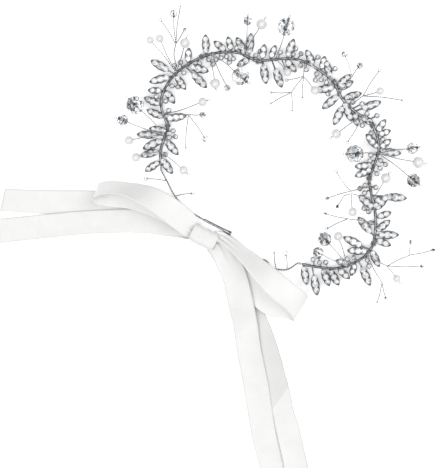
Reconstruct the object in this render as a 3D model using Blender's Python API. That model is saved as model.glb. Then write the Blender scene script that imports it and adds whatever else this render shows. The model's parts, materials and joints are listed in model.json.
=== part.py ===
"""A bridal hair vine: cast leaf sprays lashed end to end into an open ring, wire sprigs that
carry pearls and crystals, and a satin ribbon tied in a bow through the two ends.

It lies flat, face up. +Z is up, and the origin is the middle of its footprint, at the table.
"""

from math import atan2, cos, degrees, dist, pi, radians, sin, sqrt

import bmesh
import bpy
from mathutils import Matrix, Vector

MM = 0.001  # every size below is in millimetres

# The ring that the sprays follow, and where its centre lies from the origin.
RING_WIDTH = 109.0
RING_DEPTH = 106.0
RING_AT = (35.0, 46.0)
LAID_OUT = (109.0, 106.0)  # the ring's size for which stations and places are counted

# Cast sprays: a stem with a flat back, and leaves that grow from it.
STEM_WIDTH = 1.8
STEM_HEIGHT = 1.4
STEM_OVERLAP = 3.0  # how far a stem runs on past the lashing
LEAF_LENGTH = 10.5
LEAF_WIDTH = 4.2
LEAF_THICKNESS = 1.3
STALK_WIDTH = 1.0

# Lashings: wire wound round two stems, one above the other.
CLEARANCE = 0.3
LASHING_WALL = 0.5
LASHING_LENGTH = 1.6
SWING_ROOM = 0.5  # beside the stems, so that the upper one can turn

# Sprigs: twisted wire, with the beads threaded on it.
WIRE = 0.7
CORE_WIRE = 1.0
RISE = 6.4  # height at which a sprig leaves its post
SEED_BEAD = 2.0
CURL = 1.4
BORE = 1.3

# Ribbon.
RIBBON_WIDTH = 12.5
RIBBON_THICKNESS = 0.4
KNOT_LENGTH = 12.5
KNOT_WIDTH = 9.0
KNOT_HEIGHT = 9.0
KNOT_AT = (-33.0, -37.0)
KNOT_HEADING = -27.0

# Heights that follow from the sizes above.
LOW = LASHING_WALL + CLEARANCE  # back of the lower sprays
LEVEL_STEP = STEM_HEIGHT + 2 * CLEARANCE
HIGH = LOW + LEVEL_STEP  # back of the upper sprays

# Each lashing: (angle round the ring, distance outside it, heading of both stems there).
LASHINGS = [
    (160, 0.0, 92),
    (123, 9.5, 32),
    (97, -2.0, -12),
    (52, -2.0, -52),
    (20, 0.0, -52),
    (351, -4.5, -90),
    (322, 11.5, -108),
]

# Each spray: its height, the points of its stem between lashings as (angle, distance
# outside the ring), and its leaves as (station along the stem, heading, reach, tilt).
SPRAYS = [
    (
        LOW,
        [(182, 0.0), (174, 0.5), (168, 0.0)],
        [
            (3.0, -145, 9.5, 3),
            (5.0, -55, 10.5, 3),
            (8.0, -165, 10.5, 2),
            (14.0, -155, 11.5, 3),
            (14.5, -50, 11.0, 3),
            (16.0, 178, 14.0, 2),
        ],
    ),
    (
        HIGH,
        [(155, 5.0), (151, 8.0), (146, 10.0), (138, 11.0), (131, 10.5)],
        [
            (0.2, 172, 9.5, 7),
            (7.0, 155, 10.0, 6),
            (6.5, 8, 11.0, 6),
            (13.5, 155, 9.5, 6),
            (21.0, 178, 8.0, 8),
            (22.0, -55, 9.0, 6),
            (30.0, -165, 12.5, 6),
            (31.0, 150, 14.0, 5),
            (31.0, -55, 9.5, 5),
            (37.5, -45, 15.5, 5),
            (38.0, -15, 12.0, 8),
            (39.0, 85, 8.5, 8),
        ],
    ),
    (
        LOW,
        [(115, 7.5), (106, 4.0)],
        [
            (5.5, 92, 10.5, 3),
            (16.0, 140, 8.5, 3),
            (18.5, 105, 8.0, 3),
            (26.0, 118, 10.5, 2),
            (27.5, 85, 12.0, 3),
            (28.5, -150, 8.0, 3),
        ],
    ),
    (
        HIGH,
        [(81, -0.5), (72, 0.0), (63, -1.0)],
        [
            (5.0, 80, 8.5, 8),
            (9.0, 68, 8.0, 8),
            (17.5, 70, 10.5, 6),
            (5.5, -82, 12.0, 5),
            (10.0, -70, 15.0, 5),
            (16.5, -50, 9.0, 7),
            (32.0, 115, 9.5, 7),
            (36.0, 75, 8.0, 8),
            (42.0, 105, 9.5, 7),
        ],
    ),
    (
        LOW,
        [(42, -5.5), (33, -5.0), (26, -2.5)],
        [
            (6.2, 42, 9.5, 2),
            (7.5, 28, 9.0, 2),
            (12.5, 15, 10.0, 2),
            (21.5, 20, 14.0, 2),
            (6.0, -170, 11.0, 2),
            (10.0, -140, 11.5, 2),
            (14.5, -115, 13.0, 2),
            (14.0, -70, 11.0, 3),
            (21.0, -78, 8.0, 2),
            (24.5, -35, 8.5, 2),
        ],
    ),
    (
        HIGH,
        [(13, 0.5), (7, 0.0), (359, -2.5)],
        [
            (7.2, 55, 8.5, 8),
            (8.5, 20, 7.5, 8),
            (15.5, 130, 10.0, 6),
            (15.5, 40, 8.0, 8),
            (16.5, -5, 11.5, 6),
            (23.5, -175, 10.0, 6),
            (25.4, -156, 10.0, 6),
        ],
    ),
    (
        LOW,
        [(343, -1.5), (336, 3.0), (328, 8.0)],
        [
            (11.5, -5, 17.5, 1),
            (18.5, 140, 10.5, 2),
            (32.5, 130, 13.0, 2),
            (19.5, 75, 8.0, 2),
            (19.5, 52, 10.5, 2),
            (23.0, 20, 8.5, 2),
            (30.0, 38, 9.5, 2),
            (31.5, 0, 12.0, 2),
            (33.5, -22, 9.0, 2),
        ],
    ),
    (
        HIGH,
        [(316, 12.5), (308, 11.0), (301, 8.0), (294, 3.5), (287, -0.5)],
        [
            (6.0, -65, 10.0, 6),
            (6.5, 155, 15.0, 5),
            (7.5, 178, 11.0, 7),
            (14.5, -65, 14.0, 5),
            (19.0, 165, 8.0, 8),
            (16.0, -110, 7.5, 8),
            (26.0, -40, 8.5, 8),
            (30.0, -60, 10.0, 6),
            (33.5, -68, 10.0, 6),
            (38.5, -80, 15.0, 5),
            (43.0, -80, 10.5, 6),
        ],
    ),
]

# Beads that turn on their wires: (kind, diameter).
BEADS = {
    "crystal_1": ("crystal", 9.0),
    "crystal_2": ("crystal", 6.0),
    "crystal_3": ("crystal", 9.0),
    "crystal_4": ("crystal", 5.0),
    "crystal_5": ("crystal", 9.0),
    "crystal_6": ("crystal", 9.0),
    "crystal_7": ("crystal", 6.0),
    "crystal_8": ("crystal", 7.0),
    "crystal_9": ("crystal", 7.0),
    "pearl_1": ("pearl", 4.5),
    "pearl_2": ("pearl", 4.5),
    "pearl_3": ("pearl", 5.0),
    "pearl_4": ("pearl", 5.0),
    "pearl_5": ("pearl", 5.5),
    "pearl_6": ("pearl", 5.0),
    "pearl_7": ("pearl", 6.0),
    "pearl_8": ("pearl", 5.0),
    "pearl_9": ("pearl", 4.0),
}

# Each sprig: the spray that it is bound to (counted from 0), the station of its post, and
# its wires as (start, heading, reach, height of the end, what is on the end). Start 0 is
# the top of the post, and start n is the end of the n-th wire. A number on the end is the
# diameter of a bead held fast by the twist.
SPRIGS = [
    (
        0,
        16.0,
        [
            (0, 135, 20.5, 10.5, "crystal_1"),
            (0, 161, 22.0, 7.0, "crystal_2"),
            (0, -171, 18.0, 6.5, 4.5),
        ],
    ),
    (0, 7.5, [(0, -166, 12.5, 6.5, 4.5), (0, -39, 15.0, 7.5, "pearl_1")]),
    (
        1,
        8.5,
        [
            (0, 18, 20.5, 8.0, "pearl_2"),
            (0, 0, 12.5, 8.0, None),
            (2, 0, 7.0, 7.0, SEED_BEAD),
            (2, -55, 14.5, 7.0, SEED_BEAD),
            (2, -95, 17.0, 6.0, CURL),
        ],
    ),
    (
        1,
        32.0,
        [
            (0, 97, 9.0, 8.0, None),
            (1, 79, 5.0, 9.0, None),
            (2, 122, 14.0, 10.0, CURL),
            (2, 94, 15.0, 10.0, 4.0),
            (2, 59, 8.5, 8.0, SEED_BEAD),
            (2, 83, 19.5, 9.0, SEED_BEAD),
            (0, 129, 20.5, 8.0, 4.0),
            (0, 116, 18.5, 9.0, 4.0),
            (0, 73, 15.0, 9.0, "pearl_3"),
        ],
    ),
    (
        2,
        8.5,
        [
            (0, -84, 15.5, 9.0, "pearl_4"),
            (0, -40, 18.5, 9.0, "crystal_3"),
            (0, -66, 19.0, 6.5, 2.5),
        ],
    ),
    (2, 25.0, [(0, 85, 16.5, 8.0, "crystal_4"), (0, 60, 17.0, 8.0, "pearl_5")]),
    (3, 12.0, [(0, 72, 16.5, 9.0, "crystal_5"), (0, -50, 9.0, 8.0, 3.5)]),
    (
        3,
        27.0,
        [
            (0, -98, 7.5, 8.5, None),
            (1, -167, 8.5, 8.0, CURL),
            (1, -127, 10.0, 8.0, None),
            (3, 180, 10.5, 7.0, CURL),
            (3, -152, 12.0, 7.0, CURL),
            (3, -87, 9.5, 7.0, CURL),
            (1, -93, 11.0, 8.0, CURL),
            (1, -52, 9.0, 8.0, 4.5),
        ],
    ),
    (
        4,
        9.5,
        [
            (0, 53, 10.0, 8.0, None),
            (1, 55, 6.5, 8.0, 3.0),
            (1, 109, 11.5, 8.0, 3.0),
        ],
    ),
    (
        4,
        17.5,
        [
            (0, 35, 8.0, 8.0, None),
            (1, 57, 15.0, 8.0, CURL),
            (1, 16, 9.0, 8.0, 4.0),
            (1, -6, 20.0, 7.0, CURL),
        ],
    ),
    (4, 26.0, [(0, -146, 16.0, 7.0, "pearl_6"), (0, -120, 15.0, 6.0, CURL)]),
    (
        5,
        17.5,
        [
            (0, -178, 12.0, 9.5, "crystal_6"),
            (0, 8, 17.0, 7.5, "crystal_7"),
            (0, -13, 20.5, 6.5, "pearl_7"),
            (0, -38, 22.0, 8.0, "crystal_8"),
        ],
    ),
    (
        6,
        7.5,
        [
            (0, -169, 10.5, 7.5, None),
            (1, 126, 12.0, 6.5, CURL),
            (1, -163, 12.0, 6.0, SEED_BEAD),
        ],
    ),
    (
        6,
        13.0,
        [
            (0, 58, 11.5, 9.0, "pearl_8"),
            (0, 169, 11.0, 7.0, None),
            (2, -166, 4.0, 7.0, None),
            (3, -121, 6.0, 6.5, SEED_BEAD),
            (2, -87, 9.0, 7.0, 4.5),
        ],
    ),
    (
        6,
        26.0,
        [
            (0, 170, 14.5, 7.0, None),
            (1, 167, 11.5, 7.0, SEED_BEAD),
            (1, -155, 11.5, 7.0, CURL),
        ],
    ),
    (
        7,
        21.0,
        [
            (0, 130, 17.5, 11.5, "crystal_9"),
            (0, 155, 16.0, 7.0, 5.5),
            (0, 107, 15.5, 8.5, 4.5),
        ],
    ),
    (
        7,
        9.5,
        [
            (0, -30, 11.5, 7.0, None),
            (1, 26, 12.5, 7.0, None),
            (2, 12, 12.0, 7.0, SEED_BEAD),
            (2, 86, 6.5, 7.0, SEED_BEAD),
            (1, 0, 17.5, 6.0, SEED_BEAD),
            (1, -52, 8.0, 6.5, "pearl_9"),
            (0, -62, 16.0, 7.0, None),
            (7, -104, 10.5, 6.0, CURL),
            (7, -76, 8.0, 7.0, SEED_BEAD),
        ],
    ),
]

# The bare core wire past each end of the vine, as points from the ring's centre, and the
# little sprigs bound to it.
LEFT_WIRE = [
    (-51.5, -9.0, 1.5),
    (-47.5, -16.5, 1.4),
    (-42.0, -22.5, 1.4),
    (-37.0, -26.0, 2.2),
    (-33.0, -28.4, 4.0),
    (-26.0, -31.9, 4.4),
    (-19.5, -35.3, 4.4),
]
LEFT_TWIGS = [(1, 174, 10.5, 2.0), (2, 8, 9.0, 2.0)]
RIGHT_WIRE = [
    (8.5, -53.2, 2.6),
    (3.0, -53.0, 1.9),
    (-0.9, -52.2, 1.8),
]
RIGHT_TWIGS = [(1, 95, 8.0, 2.5), (2, 97, 8.5, 1.5)]
WIRE_GAP = 1.2  # between the end of a spray's stem and its core wire
EYE_DIAMETER = 6.0
EYE_AT = (-3.6, -51.4, 1.8)

# Each strip of ribbon from the knot outwards, as rows of (x, y, height, heading of the
# line across it, rise of that line, width as a share of the ribbon's own).
LEFT_LOOP = [
    (-40.6, -33.0, 6.6, 56, 0, 0.7),
    (-49.0, -24.0, 9.5, 50, -10, 0.95),
    (-59.0, -17.5, 11.0, 54, -30, 1.0),
    (-71.0, -13.3, 11.0, 65, -55, 1.0),
    (-81.0, -12.5, 10.0, 72, -55, 1.0),
    (-87.0, -14.5, 6.8, 72, -45, 1.0),
    (-82.0, -16.0, 4.6, 78, -28, 1.0),
    (-67.5, -17.5, 3.4, 75, -15, 1.0),
    (-51.0, -24.5, 3.0, 60, -5, 0.9),
    (-40.6, -33.0, 3.2, 56, 0, 0.65),
]
RIGHT_LOOP = [
    (-24.6, -36.2, 8.6, 56, -60, 0.6),
    (-17.2, -42.0, 10.0, 40, -55, 0.8),
    (-8.0, -50.5, 11.0, 40, -40, 0.95),
    (3.5, -61.5, 10.8, 48, -12, 1.0),
    (12.5, -69.0, 8.6, 52, 0, 1.0),
    (15.0, -73.0, 5.6, 60, 0, 1.05),
    (9.0, -71.5, 3.4, 74, 0, 1.0),
    (-1.5, -69.0, 3.2, 74, 0, 1.0),
    (-14.5, -57.0, 4.4, 60, 0, 0.9),
    (-25.2, -43.0, 5.2, 56, 0, 0.5),
]
UPPER_TAIL = [
    (-40.4, -33.4, 0.5, 62, 0, 0.7),
    (-50.0, -27.5, 0.5, 68, 0, 1.0),
    (-70.0, -21.5, 0.5, 84, 0, 1.0),
    (-90.0, -20.0, 0.5, 90, 0, 1.0),
    (-112.0, -19.5, 0.5, 92, 0, 0.95),
    (-134.5, -19.0, 0.5, 98, 0, 0.9),
]
LOWER_TAIL = [
    (-40.6, -35.0, 1.5, 62, 0, 0.75),
    (-50.0, -31.0, 1.4, 74, 0, 1.0),
    (-65.0, -29.0, 1.4, 88, 0, 0.95),
    (-90.0, -29.6, 1.4, 92, 0, 0.93),
    (-112.0, -31.6, 1.4, 95, 0, 0.95),
    (-135.0, -34.0, 0.9, 96, 0, 0.97),
    (-152.0, -36.0, 0.5, 96, 0, 1.0),
]
LEFT_DOWN_TAIL = [
    (-27.8, -42.6, 7.2, 40, 0, 0.65),
    (-24.0, -48.5, 7.4, 28, 0, 0.85),
    (-19.0, -57.5, 6.8, 22, 0, 0.95),
    (-14.8, -69.5, 5.6, 14, 0, 1.0),
    (-12.3, -81.0, 3.0, 10, 0, 0.97),
    (-10.5, -93.5, 1.6, 9, 0, 0.97),
    (-6.8, -112.5, 1.4, 12, 0, 1.0),
    (-3.2, -135.0, 1.4, 13, 0, 0.97),
    (0.8, -152.5, 1.4, 12, 0, 0.92),
    (3.0, -170.0, 1.4, 12, 0, 0.95),
]
RIGHT_DOWN_TAIL = [
    (-30.0, -43.8, 0.5, 40, 0, 0.6),
    (-22.0, -56.0, 0.5, 32, 0, 0.9),
    (-12.5, -70.0, 0.5, 30, 0, 1.0),
    (-5.5, -84.0, 0.5, 24, 0, 1.0),
    (-0.5, -99.0, 0.5, 20, 0, 1.0),
    (5.0, -115.0, 0.5, 18, 0, 1.0),
    (9.0, -133.0, 0.5, 13, 0, 0.95),
    (13.0, -152.0, 0.5, 13, 0, 0.95),
    (17.0, -168.0, 0.5, 14, 0, 0.95),
]
RIBBONS = {
    "bow_loop_left": LEFT_LOOP,
    "bow_loop_right": RIGHT_LOOP,
    "tail_left_upper": UPPER_TAIL,
    "tail_left_lower": LOWER_TAIL,
    "tail_down_left": LEFT_DOWN_TAIL,
    "tail_down_right": RIGHT_DOWN_TAIL,
}
RIBBON_STEP = 4.0  # between the rows that a ribbon is made of
LINK_WIDTH = (EYE_DIAMETER - CORE_WIRE) / 2  # the gathered strand to the right eye


def clear_scene():
    for obj in list(bpy.data.objects):
        bpy.data.objects.remove(obj, do_unlink=True)


def material(name, colour, metallic, roughness):
    made = bpy.data.materials.new(name)
    made.use_nodes = True
    shader = made.node_tree.nodes["Principled BSDF"]
    shader.inputs["Base Color"].default_value = (*colour, 1.0)
    shader.inputs["Metallic"].default_value = metallic
    shader.inputs["Roughness"].default_value = roughness
    return made


def smooth_rows(rows, step):
    """Rows of numbers on Catmull-Rom curves through the given ones; the first three numbers
    of a row are its place, and the places come about step apart."""
    first = [2 * p - q for p, q in zip(rows[0], rows[1])]
    last = [2 * p - q for p, q in zip(rows[-1], rows[-2])]
    ends = [first, *rows, last]
    fine = []
    for four in zip(ends, ends[1:], ends[2:], ends[3:]):
        count = max(1, round(dist(four[1][:3], four[2][:3]) / step))
        for i in range(count):
            t = i / count
            fine.append(
                [
                    b
                    + 0.5 * (c - a) * t
                    + (a - 2.5 * b + 2 * c - 0.5 * d) * t**2
                    + (1.5 * b - 0.5 * a - 1.5 * c + 0.5 * d) * t**3
                    for a, b, c, d in zip(*four)
                ]
            )
    return [*fine, rows[-1]]


def smooth_path(points, step=3.0):
    return [Vector(p) for p in smooth_rows(points, step)]


def face_outwards(mesh):
    bmesh.ops.recalc_face_normals(mesh, faces=mesh.faces)
    if mesh.calc_volume(signed=True) < 0:
        bmesh.ops.reverse_faces(mesh, faces=mesh.faces)


def loft(rings, ring_closed=False):
    """One closed mesh through rings of points, capped unless the last ring meets the first."""
    mesh = bmesh.new()
    rows = [[mesh.verts.new(p * MM) for p in ring] for ring in rings]
    pairs = list(zip(rows, rows[1:]))
    if ring_closed:
        pairs.append((rows[-1], rows[0]))
    else:
        mesh.faces.new(rows[0])
        mesh.faces.new(rows[-1])
    for low, high in pairs:
        for i in range(len(low)):
            j = (i + 1) % len(low)
            mesh.faces.new((low[i], low[j], high[j], high[i]))
    face_outwards(mesh)
    return mesh


def new_object(name, mesh, finish, origin=(0.0, 0.0, 0.0)):
    """An object from a bmesh in world place, with its origin at the given point in mm."""
    at = Vector(origin) * MM
    bmesh.ops.translate(mesh, verts=mesh.verts, vec=-at)
    data = bpy.data.meshes.new(name)
    mesh.to_mesh(data)
    mesh.free()
    obj = bpy.data.objects.new(name, data)
    obj.location = at
    bpy.context.scene.collection.objects.link(obj)
    data.materials.append(finish)
    data.shade_smooth()
    data.set_sharp_from_angle(angle=radians(35))
    return obj


def union(name, meshes, finish, origin=(0.0, 0.0, 0.0)):
    """One solid from meshes that run into each other."""
    body = new_object(name, meshes[0], finish, origin)
    for n, mesh in enumerate(meshes[1:]):
        other = new_object(f"{name}_piece", mesh, finish)
        cut = body.modifiers.new(f"join_{n}", "BOOLEAN")
        cut.operation = "UNION"
        cut.object = other
        bpy.context.view_layer.update()
        graph = bpy.context.evaluated_depsgraph_get()
        joined = bpy.data.meshes.new_from_object(body.evaluated_get(graph))
        body.modifiers.clear()
        body.data = joined
        bpy.data.objects.remove(other, do_unlink=True)
    body.data.name = name
    return body


def ring_point(angle, outside, height=0.0, size=(RING_WIDTH, RING_DEPTH)):
    """A point outside the ring's ellipse by a distance along the ray at the angle."""
    turn = radians(angle)
    wide, deep = size[0] / 2, size[1] / 2
    radius = wide * deep / sqrt((deep * cos(turn)) ** 2 + (wide * sin(turn)) ** 2)
    radius += outside
    return Vector(
        (
            RING_AT[0] + radius * cos(turn),
            RING_AT[1] + radius * sin(turn),
            height,
        )
    )


def ahead(heading, length=1.0):
    return Vector((cos(radians(heading)), sin(radians(heading)), 0.0)) * length


def stem_path(index, size=(RING_WIDTH, RING_DEPTH)):
    """The stem's centre line on its back, between and just past its lashings."""
    height, points, _ = SPRAYS[index]
    path = [ring_point(*p, height, size) for p in points]
    if index > 0:
        angle, outside, heading = LASHINGS[index - 1]
        at = ring_point(angle, outside, height, size)
        path = [at - ahead(heading, STEM_OVERLAP), at, *path]
    if index < len(LASHINGS):
        angle, outside, heading = LASHINGS[index]
        at = ring_point(angle, outside, height, size)
        path = [*path, at, at + ahead(heading, STEM_OVERLAP)]
    return smooth_path(path)


def length_of(path):
    return sum((b - a).length for a, b in zip(path, path[1:]))


def along(path, station):
    """The point of a path at a distance from its start."""
    for a, b in zip(path, path[1:]):
        step = (b - a).length
        if station <= step:
            return a.lerp(b, station / step)
        station -= step
    return path[-1]


def on_stem(index, station):
    """A spray's point at a station, which moves on as a larger ring stretches the stem."""
    path = stem_path(index)
    stretch = length_of(path) / length_of(stem_path(index, LAID_OUT))
    return along(path, station * stretch)


def sweep(path, section):
    """Rings of a section (across, up) carried level along a path."""
    rings = []
    for i, point in enumerate(path):
        way = path[min(i + 1, len(path) - 1)] - path[max(i - 1, 0)]
        across = Vector((way.y, -way.x, 0.0)).normalized()
        rings.append([point + across * u + Vector((0, 0, v)) for u, v in section])
    return rings


def stem(path):
    half = STEM_WIDTH / 2
    section = [
        (-half, 0.0),
        (-half, 0.45 * STEM_HEIGHT),
        (-0.45 * half, STEM_HEIGHT),
        (0.45 * half, STEM_HEIGHT),
        (half, 0.45 * STEM_HEIGHT),
        (half, 0.0),
    ]
    return loft(sweep(path, section))


def leaf(base, heading, reach, tilt):
    """A pointed blade on a stalk, with a flat back and a bevelled front."""
    blade = min(LEAF_LENGTH, reach - STEM_WIDTH / 2)
    stalk = reach - blade
    half = LEAF_WIDTH / 2 * sqrt(blade / LEAF_LENGTH)
    side = [(0.0, STALK_WIDTH / 2), (stalk, STALK_WIDTH / 2)]
    for t, share in ((0.2, 0.75), (0.45, 1.0), (0.72, 0.85), (1.0, 0.12)):
        side.append((stalk + blade * t, half * share))
    outline = side + [(x, -y) for x, y in reversed(side)]
    rings = []
    for height, inset in ((0.0, 0.0), (0.6, 0.0), (1.0, 0.3)):
        rings.append(
            [
                Vector((x, y * (1 - inset), height * LEAF_THICKNESS))
                for x, y in outline
            ]
        )
    turn = Matrix.Rotation(radians(heading), 4, "Z") @ Matrix.Rotation(
        radians(-tilt), 4, "Y"
    )
    return loft([[base + turn @ p for p in ring] for ring in rings])


def make_spray(index, finish):
    path = stem_path(index)
    meshes = [stem(path)]
    for station, heading, reach, tilt in SPRAYS[index][2]:
        meshes.append(leaf(on_stem(index, station), heading, reach, tilt))
    origin = path[0]
    if index > 0:
        angle, outside, _ = LASHINGS[index - 1]
        origin = ring_point(angle, outside)
    return union(f"spray_{index + 1}", meshes, finish, origin)


def make_lashing(index, finish):
    """A short sleeve round both stems, as high as the two of them."""
    angle, outside, heading = LASHINGS[index]
    at = ring_point(angle, outside)
    inner = STEM_WIDTH / 2 + SWING_ROOM
    outer = inner + LASHING_WALL
    floor = LASHING_WALL
    roof = HIGH + STEM_HEIGHT + CLEARANCE
    rings = []
    for offset in (-LASHING_LENGTH / 2, LASHING_LENGTH / 2):
        middle = at + ahead(heading, offset)
        rings.append(lashing_ring(middle, heading, outer, 0.0, roof + LASHING_WALL))
    for offset in (LASHING_LENGTH / 2, -LASHING_LENGTH / 2):
        middle = at + ahead(heading, offset)
        rings.append(lashing_ring(middle, heading, inner, floor, roof))
    return new_object(f"lashing_{index + 1}", loft(rings, True), finish, at)


def lashing_ring(middle, heading, half, low, high):
    """An upright loop with chamfered corners, in the plane across the stems."""
    across = ahead(heading + 90)
    cut = 0.35 * half
    corners = [
        (-half, low + cut),
        (-half + cut, low),
        (half - cut, low),
        (half, low + cut),
        (half, high - cut),
        (half - cut, high),
        (-half + cut, high),
        (-half, high - cut),
    ]
    return [middle + across * u + Vector((0, 0, v)) for u, v in corners]


def tube(start, end, diameter, sides=6):
    """A straight wire between two points."""
    way = (end - start).normalized()
    side = way.orthogonal().normalized()
    up = way.cross(side)
    radius = diameter / 2
    rings = []
    for point in (start, end):
        rings.append(
            [
                point
                + (side * cos(2 * pi * i / sides) + up * sin(2 * pi * i / sides))
                * radius
                for i in range(sides)
            ]
        )
    return loft(rings)


def bent_tube(points, diameter, sides=6):
    """A wire along a smooth path."""
    path = smooth_path(points, 2.5)
    rings = []
    for i, point in enumerate(path):
        way = (path[min(i + 1, len(path) - 1)] - path[max(i - 1, 0)]).normalized()
        side = way.cross(Vector((0, 0, 1))).normalized()
        up = side.cross(way)
        rings.append(
            [
                point
                + (side * cos(2 * pi * k / sides) + up * sin(2 * pi * k / sides))
                * (diameter / 2)
                for k in range(sides)
            ]
        )
    return loft(rings)


def ball(centre, diameter):
    mesh = bmesh.new()
    bmesh.ops.create_icosphere(mesh, subdivisions=1, radius=diameter / 2 * MM)
    bmesh.ops.translate(mesh, verts=mesh.verts, vec=centre * MM)
    return mesh


def make_bead(name, centre, way, finish):
    """A turned bead with a bore along the wire: round for a pearl, cut for a crystal."""
    kind, diameter = BEADS[name]
    radius, hole = diameter / 2, BORE / 2
    if kind == "pearl":
        sides, turns = 10, (0.0, 36.0, 72.0, 108.0, 144.0, 180.0)
        profile = [(-cos(radians(a)), sin(radians(a))) for a in turns[1:-1]]
    else:
        sides, profile = 8, [(-0.75, 0.62), (-0.2, 1.0), (0.2, 1.0), (0.75, 0.62)]
    end = sqrt(radius**2 - hole**2) * 0.95
    outline = [(-end, hole)]
    outline += [(radius * x, radius * y) for x, y in profile]
    outline += [(end, hole)]
    side = way.orthogonal().normalized()
    up = way.cross(side)
    rings = []
    for x, y in outline:
        rings.append(
            [
                centre
                + way * x
                + (side * cos(2 * pi * i / sides) + up * sin(2 * pi * i / sides)) * y
                for i in range(sides)
            ]
        )
    return new_object(name, loft(rings, True), finish, centre)


def make_sprig(index, metal, finishes):
    """A post on the stem, its wires, the beads fixed on them and the beads that turn."""
    spray, station, wires = SPRIGS[index]
    foot = on_stem(spray, station) + Vector((0, 0, STEM_HEIGHT + CLEARANCE))
    top = Vector((foot.x, foot.y, RISE))
    meshes = [tube(foot, top + Vector((0, 0, WIRE / 2)), 1.4 * WIRE)]
    ends = [top]
    for start, heading, reach, height, tip in wires:
        begin = ends[start]
        end = begin + ahead(heading, reach)
        end.z = height
        ends.append(end)
        way = (end - begin).normalized()
        if tip is None:
            meshes.append(tube(begin, end + way * WIRE / 3, WIRE))
        elif isinstance(tip, str):
            kind, diameter = BEADS[tip]
            make_bead(tip, end, way, finishes[kind])
            stop = end + way * (diameter / 2 + CLEARANCE + CURL / 2)
            meshes.append(tube(begin, stop, WIRE))
            meshes.append(ball(stop, CURL))
        else:
            meshes.append(tube(begin, end, WIRE))
            meshes.append(ball(end, tip))
    return union(f"sprig_{index + 1}", meshes, metal, foot)


def from_ring(points):
    """Points given from the ring's centre, which spread as the ring does."""
    spread_x, spread_y = RING_WIDTH / LAID_OUT[0], RING_DEPTH / LAID_OUT[1]
    return [
        Vector((x * spread_x + RING_AT[0], y * spread_y + RING_AT[1], z))
        for x, y, z in points
    ]


def from_knot(x, y, z):
    """A point of the bow given from the ring's centre, which stays with the knot."""
    (knot,) = from_ring([(*KNOT_AT, 0.0)])
    return knot + Vector((x - KNOT_AT[0], y - KNOT_AT[1], z))


def past_stem(end, before):
    """The point just past a stem's end, in line with it, at half the stem's height."""
    gap = (end - before).normalized() * (WIRE_GAP + CORE_WIRE / 2)
    return end + gap + Vector((0, 0, STEM_HEIGHT / 2))


def make_end_wire(name, stem_end, points, twigs, metal, more=()):
    """The core wire past the last spray, with the twigs bound to it."""
    path = [stem_end, *from_ring(points)]
    meshes = [bent_tube(path, CORE_WIRE), *more]
    for start, heading, reach, bead in twigs:
        begin = path[start]
        end = begin + ahead(heading, reach) + Vector((0, 0, 1.0))
        meshes.append(tube(begin, end, WIRE))
        meshes.append(ball(end, bead))
    return union(name, meshes, metal, path[0])


def eye(centre, diameter, wire, sides=6, turns=14):
    """A flat ring of wire."""
    rings = []
    for i in range(turns):
        out = ahead(360 * i / turns)
        middle = centre + out * (diameter / 2)
        rings.append(
            [
                middle
                + (
                    out * cos(2 * pi * k / sides)
                    + Vector((0, 0, sin(2 * pi * k / sides)))
                )
                * (wire / 2)
                for k in range(sides)
            ]
        )
    return loft(rings, True)


def make_strip(name, rows, finish):
    """A ribbon through rows of (x, y, height, heading, rise, width share): two faces cut into
    triangles the same way, so that they stay a thickness apart where the ribbon twists."""
    places = [from_knot(*row[:3]) for row in rows]
    mesh = bmesh.new()
    sections = []
    for i, (_, _, _, heading, rise, share) in enumerate(rows):
        way = places[min(i + 1, len(rows) - 1)] - places[max(i - 1, 0)]
        across = ahead(heading) * cos(radians(rise)) + Vector((0, 0, sin(radians(rise))))
        half = across * (share * RIBBON_WIDTH / 2)
        lift = way.cross(across).normalized() * (RIBBON_THICKNESS / 2)
        corners = (-half - lift, half - lift, half + lift, lift - half)
        sections.append([mesh.verts.new((places[i] + c) * MM) for c in corners])
    mesh.faces.new(sections[0])
    mesh.faces.new(sections[-1])
    for (a, b, c, d), (e, f, g, h) in zip(sections, sections[1:]):
        for face in ((a, b, f), (a, f, e), (d, c, g), (d, g, h), (b, c, g, f), (a, d, h, e)):
            mesh.faces.new(face)
    face_outwards(mesh)
    return new_object(name, mesh, finish)


def make_knot(finish):
    """The band round the middle of the bow, standing on the table."""
    middle = from_knot(*KNOT_AT, 0.0)
    along_bow, across = ahead(KNOT_HEADING), ahead(KNOT_HEADING + 90)
    rings = []
    for share, pull in ((-0.5, 0.9), (-0.2, 1.0), (0.2, 1.0), (0.5, 0.9)):
        half = KNOT_WIDTH / 2 * pull
        low = KNOT_HEIGHT / 2 * (1 - pull) + 0.4
        high = KNOT_HEIGHT - KNOT_HEIGHT / 2 * (1 - pull)
        corners = [
            (-half, low + 1.5),
            (-half + 1.5, low),
            (half - 1.5, low),
            (half, low + 1.5),
            (half, high - 2.5),
            (half - 2.5, high),
            (-half + 2.5, high),
            (-half, high - 2.5),
        ]
        at = middle + along_bow * (share * KNOT_LENGTH)
        rings.append([at + across * u + Vector((0, 0, v)) for u, v in corners])
    return new_object("bow_knot", loft(rings), finish, middle)


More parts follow.
